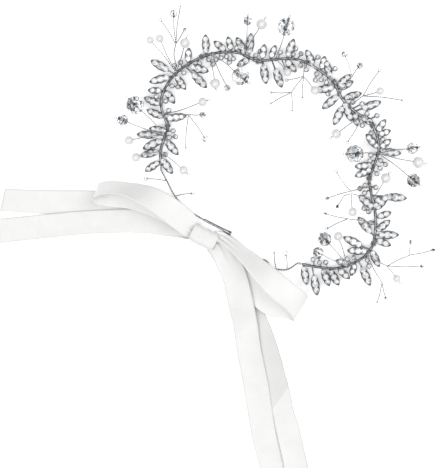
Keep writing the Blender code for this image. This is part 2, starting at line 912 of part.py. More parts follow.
def make_link(finish):
    """The gathered strand from the knot, over the near side of the right eye and back."""
    start = from_knot(*KNOT_AT, 0.0)
    start += ahead(KNOT_HEADING, KNOT_LENGTH / 2 + 2 * CLEARANCE)
    start += ahead(KNOT_HEADING + 90, KNOT_WIDTH / 5)
    (centre,) = from_ring([EYE_AT])
    way = centre - start
    heading = degrees(atan2(way.y, way.x))
    reach = Vector((way.x, way.y, 0)).length
    gap = CORE_WIRE / 2 + 2 * CLEARANCE + RIBBON_THICKNESS / 2
    low, high = centre.z - gap, centre.z + gap
    near = reach - EYE_DIAMETER / 2
    past = near + CORE_WIRE / 2 + 3 * CLEARANCE
    rows = []
    for distance, height in (
        (0.0, high + 0.4),
        (near, high),
        (past, centre.z),
        (near, low),
        (0.0, low),
    ):
        at = start + ahead(heading, distance) - from_knot(0.0, 0.0, 0.0)
        rows.append((at.x, at.y, height, heading + 90, 0, LINK_WIDTH / RIBBON_WIDTH))
    return make_strip("ribbon_link", rows, finish)


def build():
    clear_scene()
    silver = material("silver_plate", (0.62, 0.62, 0.63), 1.0, 0.25)
    wire = material("silver_wire", (0.7, 0.7, 0.71), 1.0, 0.3)
    satin = material("white_satin", (0.9, 0.9, 0.9), 0.0, 0.45)
    finishes = {
        "pearl": material("pearl_white", (0.88, 0.87, 0.85), 0.0, 0.2),
        "crystal": material("clear_crystal", (0.85, 0.87, 0.9), 0.0, 0.03),
    }
    for index in range(len(SPRAYS)):
        make_spray(index, silver)
    for index in range(len(LASHINGS)):
        make_lashing(index, wire)
    for index in range(len(SPRIGS)):
        make_sprig(index, wire, finishes)
    first, second = stem_path(0)[:2]
    start = past_stem(first, second)
    make_end_wire("end_wire_left", start, LEFT_WIRE, LEFT_TWIGS, wire)
    second, first = stem_path(len(SPRAYS) - 1)[-2:]
    start = past_stem(first, second)
    ring = eye(from_ring([EYE_AT])[0], EYE_DIAMETER, CORE_WIRE)
    make_end_wire("end_wire_right", start, RIGHT_WIRE, RIGHT_TWIGS, wire, [ring])
    make_knot(satin)
    for name, rows in RIBBONS.items():
        make_strip(name, smooth_rows(rows, RIBBON_STEP), satin)
    make_link(satin)


build()
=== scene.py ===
"""A bridal hair vine of cast leaf sprays, wire sprigs, beads and a satin bow, modelled round
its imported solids. It lies face up on a pale table; lengths are in millimetres unless said.
"""

import json
from math import cos, pi, radians, sin, sqrt

import bmesh
import bpy
import numpy as np
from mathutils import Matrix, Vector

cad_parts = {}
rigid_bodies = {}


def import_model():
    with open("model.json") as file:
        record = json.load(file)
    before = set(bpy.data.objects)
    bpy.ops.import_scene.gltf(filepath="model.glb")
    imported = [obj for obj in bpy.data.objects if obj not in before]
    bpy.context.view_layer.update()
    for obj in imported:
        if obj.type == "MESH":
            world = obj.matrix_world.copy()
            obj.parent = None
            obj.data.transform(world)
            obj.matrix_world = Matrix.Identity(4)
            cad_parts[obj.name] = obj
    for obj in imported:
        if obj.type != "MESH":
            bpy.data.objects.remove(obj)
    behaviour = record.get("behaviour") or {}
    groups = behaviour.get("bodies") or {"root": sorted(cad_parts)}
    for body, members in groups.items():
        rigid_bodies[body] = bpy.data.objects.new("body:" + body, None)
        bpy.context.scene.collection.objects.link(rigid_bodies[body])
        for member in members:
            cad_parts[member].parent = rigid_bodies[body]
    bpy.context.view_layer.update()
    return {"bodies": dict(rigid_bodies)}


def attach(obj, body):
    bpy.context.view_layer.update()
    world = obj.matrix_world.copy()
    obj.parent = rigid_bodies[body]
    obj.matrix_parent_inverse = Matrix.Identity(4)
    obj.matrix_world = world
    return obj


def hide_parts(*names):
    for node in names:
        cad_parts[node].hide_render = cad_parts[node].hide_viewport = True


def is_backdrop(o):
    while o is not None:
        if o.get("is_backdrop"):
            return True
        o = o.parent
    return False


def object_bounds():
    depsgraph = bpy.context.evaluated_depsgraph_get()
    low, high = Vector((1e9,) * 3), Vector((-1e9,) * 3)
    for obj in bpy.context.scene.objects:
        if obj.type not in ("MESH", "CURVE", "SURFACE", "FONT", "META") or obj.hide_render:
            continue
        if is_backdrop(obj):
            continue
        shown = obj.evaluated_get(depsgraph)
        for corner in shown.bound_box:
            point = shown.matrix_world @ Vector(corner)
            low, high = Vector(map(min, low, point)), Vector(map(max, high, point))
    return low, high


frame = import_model()

# ----------------------------------------------
# The cast sprays. Each is one casting in zinc alloy, plated with rhodium: a half-round stem
# and pointed leaves, every leaf a tray with a beaded rim. The trays hold foil-backed glass
# stones, gripped by small claws. The sprays lie end over end, every second one higher.

MM = 0.001
RING_WIDTH = 109.0
RING_DEPTH = 106.0
RING_AT = np.array([35.0, 46.0, 0.0])  # ring's centre from the origin
LASHING_WALL = 0.5
CLEARANCE = 0.3
STEM_WIDTH = 1.8
STEM_HEIGHT = 1.4
STEM_OVERLAP = 3.0  # how far a stem runs on past the lashing
LOW = LASHING_WALL + CLEARANCE  # back of the lower sprays
HIGH = LOW + STEM_HEIGHT + 2 * CLEARANCE  # back of the upper sprays
LEAF_LENGTH = 10.5
LEAF_WIDTH = 4.2
TRAY_FLOOR = 0.55
RIM_HEIGHT = 1.1
RIM_WIDTH = 0.42
BEADING = 0.62  # from one bead of the rim to the next
FACET = 1.3  # size of the patches of painted reflection, darker and lighter, on the cut glass and stones

# Each lashing: (angle round the ring, distance outside it, heading of both stems there).
LASHINGS = [(160, 0.0, 92), (123, 9.5, 32), (97, -2.0, -12), (52, -2.0, -52)]
LASHINGS += [(20, 0.0, -52), (351, -4.5, -90), (322, 11.5, -108)]

# Each spray: the points of its stem between lashings as (angle, distance outside the ring),
# and its leaves as (station along the stem, heading, reach, tilt).
SPRAYS = [
    ([(182, 0.0), (174, 0.5), (168, 0.0)],
        [(3.0, -145, 9.5, 3), (5.0, -55, 10.5, 3), (8.0, -165, 10.5, 2),
        (14.0, -155, 11.5, 3), (14.5, -50, 11.0, 3), (16.0, 178, 14.0, 2)]),
    ([(155, 5.0), (151, 8.0), (146, 10.0), (138, 11.0), (131, 10.5)],
        [(0.2, 172, 9.5, 7), (7.0, 155, 10.0, 6), (6.5, 8, 11.0, 6),
        (13.5, 155, 9.5, 6), (21.0, 178, 8.0, 8), (22.0, -55, 9.0, 6),
        (30.0, -165, 12.5, 6), (31.0, 150, 14.0, 5), (31.0, -55, 9.5, 5),
        (37.5, -45, 15.5, 5), (38.0, -15, 12.0, 8), (39.0, 85, 8.5, 8)]),
    ([(115, 7.5), (106, 4.0)],
        [(5.5, 92, 10.5, 3), (16.0, 140, 8.5, 3), (18.5, 105, 8.0, 3),
        (26.0, 118, 10.5, 2), (27.5, 85, 12.0, 3), (28.5, -150, 8.0, 3)]),
    ([(81, -0.5), (72, 0.0), (63, -1.0)],
        [(5.0, 80, 8.5, 8), (9.0, 68, 8.0, 8), (17.5, 70, 10.5, 6),
        (5.5, -82, 12.0, 5), (10.0, -70, 15.0, 5), (16.5, -50, 9.0, 7),
        (32.0, 115, 9.5, 7), (36.0, 75, 8.0, 8), (42.0, 105, 9.5, 7)]),
    ([(42, -5.5), (33, -5.0), (26, -2.5)],
        [(6.2, 42, 9.5, 2), (7.5, 28, 9.0, 2), (12.5, 15, 10.0, 2), (21.5, 20, 14.0, 2),
        (6.0, -170, 11.0, 2), (10.0, -140, 11.5, 2), (14.5, -115, 13.0, 2),
        (14.0, -70, 11.0, 3), (21.0, -78, 8.0, 2), (24.5, -35, 8.5, 2)]),
    ([(13, 0.5), (7, 0.0), (359, -2.5)],
        [(7.2, 55, 8.5, 8), (8.5, 20, 7.5, 8), (15.5, 130, 10.0, 6), (15.5, 40, 8.0, 8),
        (16.5, -5, 11.5, 6), (23.5, -175, 10.0, 6), (25.4, -156, 10.0, 6)]),
    ([(343, -1.5), (336, 3.0), (328, 8.0)],
        [(11.5, -5, 17.5, 1), (18.5, 140, 10.5, 2), (32.5, 130, 13.0, 2),
        (19.5, 75, 8.0, 2), (19.5, 52, 10.5, 2), (23.0, 20, 8.5, 2),
        (30.0, 38, 9.5, 2), (31.5, 0, 12.0, 2), (33.5, -22, 9.0, 2)]),
    ([(316, 12.5), (308, 11.0), (301, 8.0), (294, 3.5), (287, -0.5)],
        [(6.0, -65, 10.0, 6), (6.5, 155, 15.0, 5), (7.5, 178, 11.0, 7),
        (14.5, -65, 14.0, 5), (19.0, 165, 8.0, 8), (16.0, -110, 7.5, 8),
        (26.0, -40, 8.5, 8), (30.0, -60, 10.0, 6), (33.5, -68, 10.0, 6),
        (38.5, -80, 15.0, 5), (43.0, -80, 10.5, 6)]),
]

CUP_STEP = 1.6  # between the round cups that fill in beside the stems, left and right in turn
OUTER_CUP = 5.6  # reach of the outer cups, one for every three places
CUP_FLOOR = 0.6
CUP_STONE = 0.98  # radius
CUP_PROFILE = np.array(  # distance from the cup's axis and height, from its back to its floor
    [(0.0, 0.0), (1.3, 0.0), (1.36, 0.85), (1.24, 1.15), (1.04, 1.1), (0.98, 0.6), (0.0, 0.6)]
)
CUP_SIDES = 16
ARM_HEIGHT, ARM_RADIUS = 0.4, 0.36  # the arm that holds a cup
LEAF_ROOM = 2.15  # least distance from a cup's middle to a leaf's middle line
CUP_ROOM = 2.75  # and to the next cup's
SPREAD = 68  # angle between a cup's arm and its stem


def ring_point(angle, outside, height=0.0):
    """The ellipse x²/a² + y²/b² = 1 met by the ray at the angle, then moved out along it."""
    c, s = cos(radians(angle)), sin(radians(angle))
    wide, deep = RING_WIDTH / 2, RING_DEPTH / 2
    radius = wide * deep / sqrt((deep * c) ** 2 + (wide * s) ** 2) + outside
    return RING_AT + [radius * c, radius * s, height]


def ahead(heading, length=1.0):
    """A level step of that length along a heading in degrees."""
    return np.array([cos(radians(heading)), sin(radians(heading)), 0.0]) * length


def smooth(rows, step):
    """A Catmull-Rom curve through rows of numbers, sampled about a step apart in x, y, z."""
    p = np.asarray(rows, float)
    p = np.vstack([2 * p[0] - p[1], p, 2 * p[-1] - p[-2]])
    out = []
    for a, b, c, d in zip(p, p[1:], p[2:], p[3:]):
        count = max(1, round(float(np.linalg.norm((c - b)[:3])) / step))
        t = (np.arange(count) / count)[:, None]
        out.append(
            b
            + 0.5 * (c - a) * t
            + (a - 2.5 * b + 2 * c - 0.5 * d) * t**2
            + (1.5 * b - 0.5 * a - 1.5 * c + 0.5 * d) * t**3
        )
    return np.vstack([*out, p[-2][None]])


def run(path):
    """The distance from the start of a path to each of its points."""
    return np.concatenate([[0], np.cumsum(np.linalg.norm(np.diff(path, axis=0), axis=1))])


def along(path, station):
    """The points of a path at distances from its start."""
    far = run(path)
    return np.stack([np.interp(station, far, path[:, k]) for k in range(3)], -1)


def grid(rows, columns, round_rows=False, round_columns=False):
    """The quads between neighbours in a rows x columns grid of points."""
    i = np.arange(rows if round_rows else rows - 1)[:, None]
    j = np.arange(columns if round_columns else columns - 1)[None]
    low, high = i * columns, (i + 1) % rows * columns
    left, right = j, (j + 1) % columns
    corners = [low + left, low + right, high + right, high + left]
    return np.stack(np.broadcast_arrays(*corners), -1).reshape(-1, 4)


def carried(path, across, up, ring_path=False, axis=(0.0, 0.0, 1.0)):
    """A profile (across, up) carried along a path: each point is the path's own, plus across
    times the side square to path and axis, plus up times the normal of path and side."""
    if ring_path:
        way = np.roll(path, -1, axis=0) - np.roll(path, 1, axis=0)
    else:
        way = np.gradient(path, axis=0)
    way /= np.linalg.norm(way, axis=1, keepdims=True)
    side = np.cross(way, axis)
    side /= np.linalg.norm(side, axis=1, keepdims=True)
    top = np.cross(side, way)
    across, up = np.broadcast_arrays(np.atleast_2d(across), np.atleast_2d(up))
    return path[:, None] + side[:, None] * across[..., None] + top[:, None] * up[..., None]


def tube(path, radius, sides=6, ring_path=False, axis=(0.0, 0.0, 1.0)):
    """A round wire: the circle (r cos a, r sin a) carried along the path, ends domed shut."""
    turn = 2 * pi * np.arange(sides) / sides
    radius = np.broadcast_to(np.asarray(radius, float), len(path))[:, None]
    points = carried(path, radius * np.cos(turn), radius * np.sin(turn), ring_path, axis)
    if ring_path:
        return points.reshape(-1, 3), grid(len(path), sides, True, True)
    ends = [points[:1] * 0 + path[0], points, points[:1] * 0 + path[-1]]
    return np.concatenate(ends).reshape(-1, 3), grid(len(path) + 2, sides, False, True)


def sphere(centre, radius, rows=6, columns=8):
    """A ball: radius times (sin p cos q, sin p sin q, cos p)."""
    p = np.linspace(0, pi, rows + 1)[:, None]
    q = 2 * pi * np.arange(columns)[None] / columns
    xyz = [np.sin(p) * np.cos(q), np.sin(p) * np.sin(q), np.cos(p) + 0 * q]
    points = np.stack(xyz, -1).reshape(-1, 3) * radius + centre
    return points, grid(rows + 1, columns, False, True)


def turned(points, heading=0.0, tilt=0.0, at=(0, 0, 0)):
    """Points tipped up by tilt about +Y, turned to the heading about +Z, then placed."""
    t, h = radians(tilt), radians(heading)
    tip = np.array([[cos(t), 0, -sin(t)], [0, 1, 0], [sin(t), 0, cos(t)]])
    turn = np.array([[cos(h), -sin(h), 0], [sin(h), cos(h), 0], [0, 0, 1]])
    return points @ (turn @ tip).T + at


def placed(name, mesh, finishes, body, stands_for):
    """The mesh as an object with its finishes, riding on its body."""
    obj = bpy.data.objects.new(name, mesh)
    bpy.context.scene.collection.objects.link(obj)
    for finish in finishes:
        mesh.materials.append(finish)
    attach(obj, body)
    if stands_for:
        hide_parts(*stands_for)
    return obj


def piece(name, patches, finish, body, stands_for, rounded=True):
    """One mesh object from (points, faces) patches, seams merged and faces turned outwards."""
    starts = np.cumsum([0] + [len(p) for p, _ in patches])
    points = np.vstack([p for p, _ in patches]) * MM
    faces = [f + start for (_, patch), start in zip(patches, starts) for f in patch]
    mesh = bpy.data.meshes.new(name)
    mesh.from_pydata(points.tolist(), [], [list(map(int, f)) for f in faces])
    made = bmesh.new()
    made.from_mesh(mesh)
    bmesh.ops.remove_doubles(made, verts=made.verts, dist=2e-7)
    bmesh.ops.dissolve_degenerate(made, edges=made.edges, dist=1e-8)
    bmesh.ops.recalc_face_normals(made, faces=made.faces)
    made.to_mesh(mesh)
    made.free()
    if rounded:
        mesh.shade_smooth()
        mesh.set_sharp_from_angle(angle=radians(50))
    return placed(name, mesh, [finish], body, stands_for)


def srgb(code):
    """An sRGB hex colour as linear red, green, blue and alpha."""
    c = np.array([int(code[i : i + 2], 16) for i in (1, 3, 5)]) / 255
    return (*np.where(c <= 0.04045, c / 12.92, ((c + 0.055) / 1.055) ** 2.4), 1.0)


def add(tree, kind, values=None, links=None, stops=(), **settings):
    """Adds a node: its settings, values for its inputs, outputs linked to its inputs, and
    the (position, sRGB colour) stops of its colour ramp, from the lowest up."""
    made = tree.nodes.new(kind)
    for key, value in settings.items():
        setattr(made, key, value)
    for number, (position, colour) in enumerate(stops):
        elements = made.color_ramp.elements
        stop = elements[number] if number < 2 else elements.new(position)
        stop.position, stop.color = position, srgb(colour)
    for key, value in (values or {}).items():
        made.inputs[key].default_value = value
    for key, output in (links or {}).items():
        tree.links.new(output, made.inputs[key])
    return made


def material(name, **values):
    """A material with its Principled shader's sockets set, underscores standing for spaces."""
    made = bpy.data.materials.new(name)
    made.use_nodes = True
    shader = made.node_tree.nodes["Principled BSDF"]
    for key, value in values.items():
        shader.inputs[key.replace("_", " ")].default_value = value
    return made, made.node_tree, shader


def drive(tree, shader, **outputs):
    """Links outputs to the shader's sockets, underscores standing for spaces."""
    for key, output in outputs.items():
        tree.links.new(output, shader.inputs[key.replace("_", " ")])


def cast_metal():
    """Rhodium plate over a cast surface: bright, cool grey, slightly uneven from the mould,
    and darker where the plating is thin."""
    made, tree, shader = material("rhodium_plated_cast_alloy", Metallic=1.0, Roughness=0.24)
    place = add(tree, "ShaderNodeTexCoord").outputs["Object"]
    uneven = add(
        tree, "ShaderNodeTexNoise", {"Scale": 1 / (1.6 * MM), "Detail": 3.0}, {"Vector": place}
    )
    patchy = uneven.outputs["Fac"]
    stops = [(0.32, "#56575A"), (0.68, "#9C9DA0")]
    tone = add(tree, "ShaderNodeValToRGB", links={"Fac": patchy}, stops=stops)
    shine = add(tree, "ShaderNodeMapRange", {"To Min": 0.16, "To Max": 0.36}, {"Value": patchy})
    grain = add(
        tree, "ShaderNodeTexNoise", {"Scale": 1 / (0.35 * MM), "Detail": 2.0}, {"Vector": place}
    )
    rough = {"Strength": 0.35, "Distance": 0.08 * MM}
    bump = add(tree, "ShaderNodeBump", rough, {"Height": grain.outputs["Fac"]})
    drive(tree, shader, Base_Color=tone.outputs[0], Roughness=shine.outputs[0])
    drive(tree, shader, Normal=bump.outputs[0])
    return made


def foil_stone():
    """Cut glass over a foil back: it throws back nearly all light, and its colour holds grey and
    white patches, a painted reflection of its facets.
    """
    made, tree, shader = material(
        "foil_backed_cut_glass", Metallic=0.3, Roughness=0.08, Coat_Weight=1.0, Coat_Roughness=0.02
    )
    place = add(tree, "ShaderNodeTexCoord").outputs["Object"]
    cells = add(tree, "ShaderNodeTexVoronoi", {"Scale": 1 / (FACET * MM)}, {"Vector": place})
    grey = add(tree, "ShaderNodeRGBToBW", links={"Color": cells.outputs["Color"]})
    # painted reflection: grey and near-white patches stand for facets that mirror dark and bright
    # surroundings
    stops = [(0.15, "#A9AEB4"), (0.42, "#FCFDFE")]
    tone = add(tree, "ShaderNodeValToRGB", links={"Fac": grey.outputs["Val"]}, stops=stops)
    drive(tree, shader, Base_Color=tone.outputs[0])
    return made


def half_width(x, length, width, stones):
    """A pointed oval: width/2 times the root of a sine, swelling a little at each stone."""
    t = np.clip(x / length, 0.0, 1.0)
    swell = 1 + 0.05 * np.cos(2 * pi * (t - stones[0][0]) / (stones[1][0] - stones[0][0]))
    return width / 2 * np.sqrt(np.abs(np.sin(pi * t**0.92))) * swell


def tray(length, width, stones):
    """A leaf's tray: the pointed oval's outline, evenly spaced, repeated inwards and upwards
    through the side, the beaded rim and the floor, and closed along the middle."""
    fine = np.linspace(0, 1, 400)
    x = length / 2 * (1 - np.cos(2 * pi * fine))
    y = np.where(fine < 0.5, 1, -1) * half_width(x, length, width, stones)
    outline = np.stack([x, y, 0 * x], -1)
    beads = round(run(outline)[-1] / BEADING / 2) * 2
    outline = along(outline, run(outline)[-1] * np.arange(beads * 4) / (beads * 4))
    bead = 0.5 + 0.5 * np.cos(2 * pi * np.arange(beads * 4) / 4)
    rows = []
    for inset, height, beaded in (
        (width, 0.0, 0.0),
        (0.0, 0.0, 0.0),
        (0.0, 0.7 * RIM_HEIGHT, 0.0),
        (0.06, 0.95 * RIM_HEIGHT, 1.0),
        (0.22, 1.05 * RIM_HEIGHT, 1.0),
        (RIM_WIDTH, 0.9 * RIM_HEIGHT, 0.6),
        (RIM_WIDTH + 0.04, TRAY_FLOOR, 0.0),
        (width, TRAY_FLOOR, 0.0),
    ):
        inset_x = min(inset, 0.5)
        row_x = length / 2 + (outline[:, 0] - length / 2) * (1 - 2.6 * inset_x / length)
        row_y = np.sign(outline[:, 1]) * np.maximum(np.abs(outline[:, 1]) - inset, 0)
        out = 0.07 * beaded * (bead - 0.5) * np.sign(outline[:, 1])
        up = height + 0.2 * beaded * (bead - 0.5)
        rows.append(np.stack([row_x, row_y + out, up + 0 * row_x], -1))
    return np.concatenate(rows), grid(len(rows), beads * 4, False, True)


def brilliant(radius, height):
    """A round cut stone: an eight-sided table, eight points halfway down between its corners,
    a sixteen-sided girdle and a straight wall below it."""
    def ring(count, share, level, shift=0.0):
        turn = 2 * pi * (np.arange(count) + shift) / count
        flat = radius * share
        return np.stack([flat * np.cos(turn), flat * np.sin(turn), 0 * turn + level * height], -1)

    points = np.vstack(
        [ring(8, 0.52, 1.0), ring(8, 0.8, 0.74, 0.5), ring(16, 1.0, 0.42), ring(16, 0.94, 0.0)]
    )
    i = np.arange(8)
    j = (i + 1) % 8
    table, mid, girdle, after = i, 8 + i, 16 + 2 * i, 16 + 2 * j
    stars = np.stack([table, j, mid], -1)
    kites = np.stack([j, after, 8 + j], -1)
    kites_2 = np.stack([j, mid, after], -1)
    lower = np.stack([mid, girdle, girdle + 1], -1)
    lower_2 = np.stack([mid, girdle + 1, after], -1)
    wall = 16 + grid(2, 16, False, True)
    faces = [i[None], stars, kites, kites_2, lower, lower_2, wall, 32 + np.arange(16)[None]]
    return points, [face for patch in faces for face in patch]


def stones_of(length):
    """The stones of a leaf: (place along it, diameter), as shares of its length."""
    if length > 8.4:
        return [(0.17, 0.285), (0.465, 0.315), (0.76, 0.275)]
    return [(0.27, 0.39), (0.67, 0.36)]


def stem_path(index):
    """The stem's line on its back: its own points, and both its lashings."""
    height = HIGH if index % 2 else LOW
    path = [ring_point(*p, height) for p in SPRAYS[index][0]]
    if index > 0:
        angle, outside, heading = LASHINGS[index - 1]
        at = ring_point(angle, outside, height)
        path = [at - ahead(heading, STEM_OVERLAP), at, *path]
    if index < len(LASHINGS):
        angle, outside, heading = LASHINGS[index]
        at = ring_point(angle, outside, height)
        path = [*path, at, at + ahead(heading, STEM_OVERLAP)]
    return smooth(path, 3.0)


def stem(path):
    """A half-round rod: its profile carried along the path, tapered in at both ends and
    swelling by a sixteenth every 4 mm."""
    path = smooth(path, 0.7)
    far = run(path)
    taper = np.sqrt(np.clip(np.minimum(far, far[-1] - far) / 1.2, 0.0, 1.0))
    taper *= 1 + np.sin(2 * pi * far / 4.0) / 16
    half = 0.4 * STEM_WIDTH
    across = half * np.array([-0.9, -1.0, -0.75, -0.3, 0.3, 0.75, 1.0, 0.9])
    up = STEM_HEIGHT * np.array([0.0, 0.35, 0.72, 0.92, 0.92, 0.72, 0.35, 0.0])
    lift = 0.4 * STEM_HEIGHT
    points = carried(path, taper[:, None] * across, lift + taper[:, None] * (up - lift))
    return points.reshape(-1, 3), grid(len(path), 8, False, True)


def cups_beside(path, leaves):
    """The free places for cups: (base, heading, reach), evenly along a stem, by turns on its
    left and right, and leaving out those that a leaf's middle line passes."""
    free = []
    far = run(path)[-1]
    stations = np.arange(5.2, far - 5.6, CUP_STEP)
    places = [(n, station, 2.5 + 0.5 * (n % 3)) for n, station in enumerate(stations)]
    places += [(n, station, OUTER_CUP) for n, station in enumerate(stations) if n % 3 == 0]
    for number, station, reach in places:
        base, after = along(path, [station, station + 0.5])
        side = 1 if number % 2 else -1
        heading = float(np.degrees(np.arctan2(*(after - base)[1::-1]))) + side * SPREAD
        centre = base + ahead(heading, reach)
        clear = True
        for at, leaf_heading, leaf_reach, _ in leaves:
            foot = along(path, [at])[0]
            share = np.clip(np.dot(centre - foot, ahead(leaf_heading)), 0, leaf_reach)
            gap = centre - foot - ahead(leaf_heading, share)
            clear = clear and np.hypot(gap[0], gap[1]) > LEAF_ROOM
        for other, other_heading, other_reach in free:
            gap = centre - other - ahead(other_heading, other_reach)
            clear = clear and np.hypot(gap[0], gap[1]) > CUP_ROOM
        if clear:
            free.append((base, heading, reach))
    return free


silver = cast_metal()
foil = foil_stone()
BODIES = ["bow_end", *(f"vine_{n}" for n in range(2, 9))]
for index, (_, leaves) in enumerate(SPRAYS):
    path = stem_path(index)
    metal, stones = [stem(path)], []
    for station, heading, reach, tilt in leaves:
        base = along(path, [station])[0]
        blade = min(LEAF_LENGTH, reach - STEM_WIDTH / 2)
        width = LEAF_WIDTH * sqrt(blade / LEAF_LENGTH)
        foot = reach - blade
        places = stones_of(blade)
        points, faces = tray(blade, width, places)
        metal.append((turned(points + [foot, 0, 0], heading, tilt, base), faces))
        stalk = np.linspace([0, 0, 0.45], [foot + 0.8, 0, 0.45], 4)
        metal.append(tube(turned(stalk, heading, tilt, base), 0.42, 8))
        tip = turned(np.array([[foot + blade - 0.25, 0, 0.75]]), heading, tilt, base)[0]
        metal.append(sphere(tip, 0.42, 5, 8))
        for share, across in places:
            radius = blade * across / 2
            points, faces = brilliant(radius, 1.15)
            at = [foot + share * blade, 0, TRAY_FLOOR]
            stones.append((turned(points + at, heading, tilt, base), faces))
        for (left, _), (right, _) in zip(places, places[1:]):
            middle = (left + right) / 2 * blade + foot
            side = width / 2 - RIM_WIDTH - 0.28
            for y in (-side, side):
                claw = turned(np.array([[middle, y, 1.2]]), heading, tilt, base)[0]
                metal.append(sphere(claw, 0.3, 4, 6))
    for base, heading, reach in cups_beside(path, leaves):
        centre = base + ahead(heading, reach)
        r, z = CUP_PROFILE.T[:, :, None]
        turn = 2 * pi * np.arange(CUP_SIDES) / CUP_SIDES
        cup = np.stack([r * np.cos(turn), r * np.sin(turn), z + 0 * turn], -1)
        faces = grid(len(CUP_PROFILE), CUP_SIDES, False, True)
        metal.append((cup.reshape(-1, 3) + centre, faces))
        arm = np.linspace(base + [0, 0, ARM_HEIGHT], centre + [0, 0, ARM_HEIGHT], 4)
        metal.append(tube(arm, ARM_RADIUS, 8))
        points, faces = brilliant(CUP_STONE, 1.0)
        stones.append((points + centre + [0, 0, CUP_FLOOR], faces))
    name = f"spray_{index + 1}"
    piece(f"{name}_casting", metal, silver, BODIES[index], [name])
    piece(f"{name}_stones", stones, foil, BODIES[index], [], False)

# ----------------------------------------------
# The lashings. Where two sprays meet, soft silver-plated copper wire is wound tightly round
# both stems, which holds them together and still lets them be bent by hand.

LASHING_TURNS = 4
LASHING_PITCH = 0.42
LASHING_GAUGE = 0.36
SWING_ROOM = 0.5


def wire_metal():
    """Silver-plated copper wire, drawn through a die: bright and smooth, with faint lines."""
    made, tree, shader = material("silver_plated_drawn_wire", Metallic=1.0, Roughness=0.2)
    place = add(tree, "ShaderNodeTexCoord").outputs["Object"]
    drawn = add(
        tree, "ShaderNodeTexNoise", {"Scale": 1 / (0.9 * MM), "Detail": 2.0}, {"Vector": place}
    )
    lines = drawn.outputs["Fac"]
    stops = [(0.0, "#78797C"), (1.0, "#B8B9BC")]
    tone = add(tree, "ShaderNodeValToRGB", links={"Fac": lines}, stops=stops)
    shine = add(tree, "ShaderNodeMapRange", {"To Min": 0.14, "To Max": 0.3}, {"Value": lines})
    drive(tree, shader, Base_Color=tone.outputs[0], Roughness=shine.outputs[0])
    return made


def coil(centre, heading, half_across, low, high, turns, pitch, gauge):
    """A winding: the rounded square |u|^3 + |v|^3 = 1 stretched to its width and height,
    moving on by the pitch in each turn."""
    t = 2 * pi * np.arange(turns * 28 + 1) / 28
    u = half_across * np.sign(np.cos(t)) * np.abs(np.cos(t)) ** (2 / 3)
    v = (high - low) / 2 * np.sign(np.sin(t)) * np.abs(np.sin(t)) ** (2 / 3) + (high + low) / 2
    on = pitch * (t / (2 * pi) - turns / 2)
    path = centre + ahead(heading) * on[:, None] + ahead(heading + 90) * u[:, None]
    return tube(path + np.stack([0 * v, 0 * v, v], -1), gauge / 2, 6, axis=ahead(heading))


plated_wire = wire_metal()
for index, (angle, outside, heading) in enumerate(LASHINGS):
    half_across, bottom = STEM_WIDTH / 2 + SWING_ROOM, LASHING_GAUGE / 2 + 0.05
    size = (half_across, bottom, HIGH + STEM_HEIGHT + CLEARANCE)
    at = ring_point(angle, outside)
    wound = coil(at, heading, *size, LASHING_TURNS, LASHING_PITCH, LASHING_GAUGE)
    name = f"lashing_{index + 1}"
    piece(f"{name}_winding", [wound], plated_wire, BODIES[index], [name])

# ----------------------------------------------
# The sprigs. Each is two strands of the same wire twisted together and bound to a stem by
# its foot. A strand is doubled back through every bead, so that the twist holds it fast or
# leaves it free to turn; a bare end is bent round into a small loop.

RISE = 6.4  # height at which a sprig leaves its post
STRAND = 0.3
TWIST = 2.2  # length of one turn
BOW = 0.022  # how far a wire bows to the side, as a share of its length
LOOP = "loop"
SEED = ("glass", 2.0)
BINDING_HALF = 0.95  # half the width of the winding at a sprig's foot
BINDING_BOTTOM = 0.05
BINDING_TURNS = 3
BINDING_PITCH = 0.34

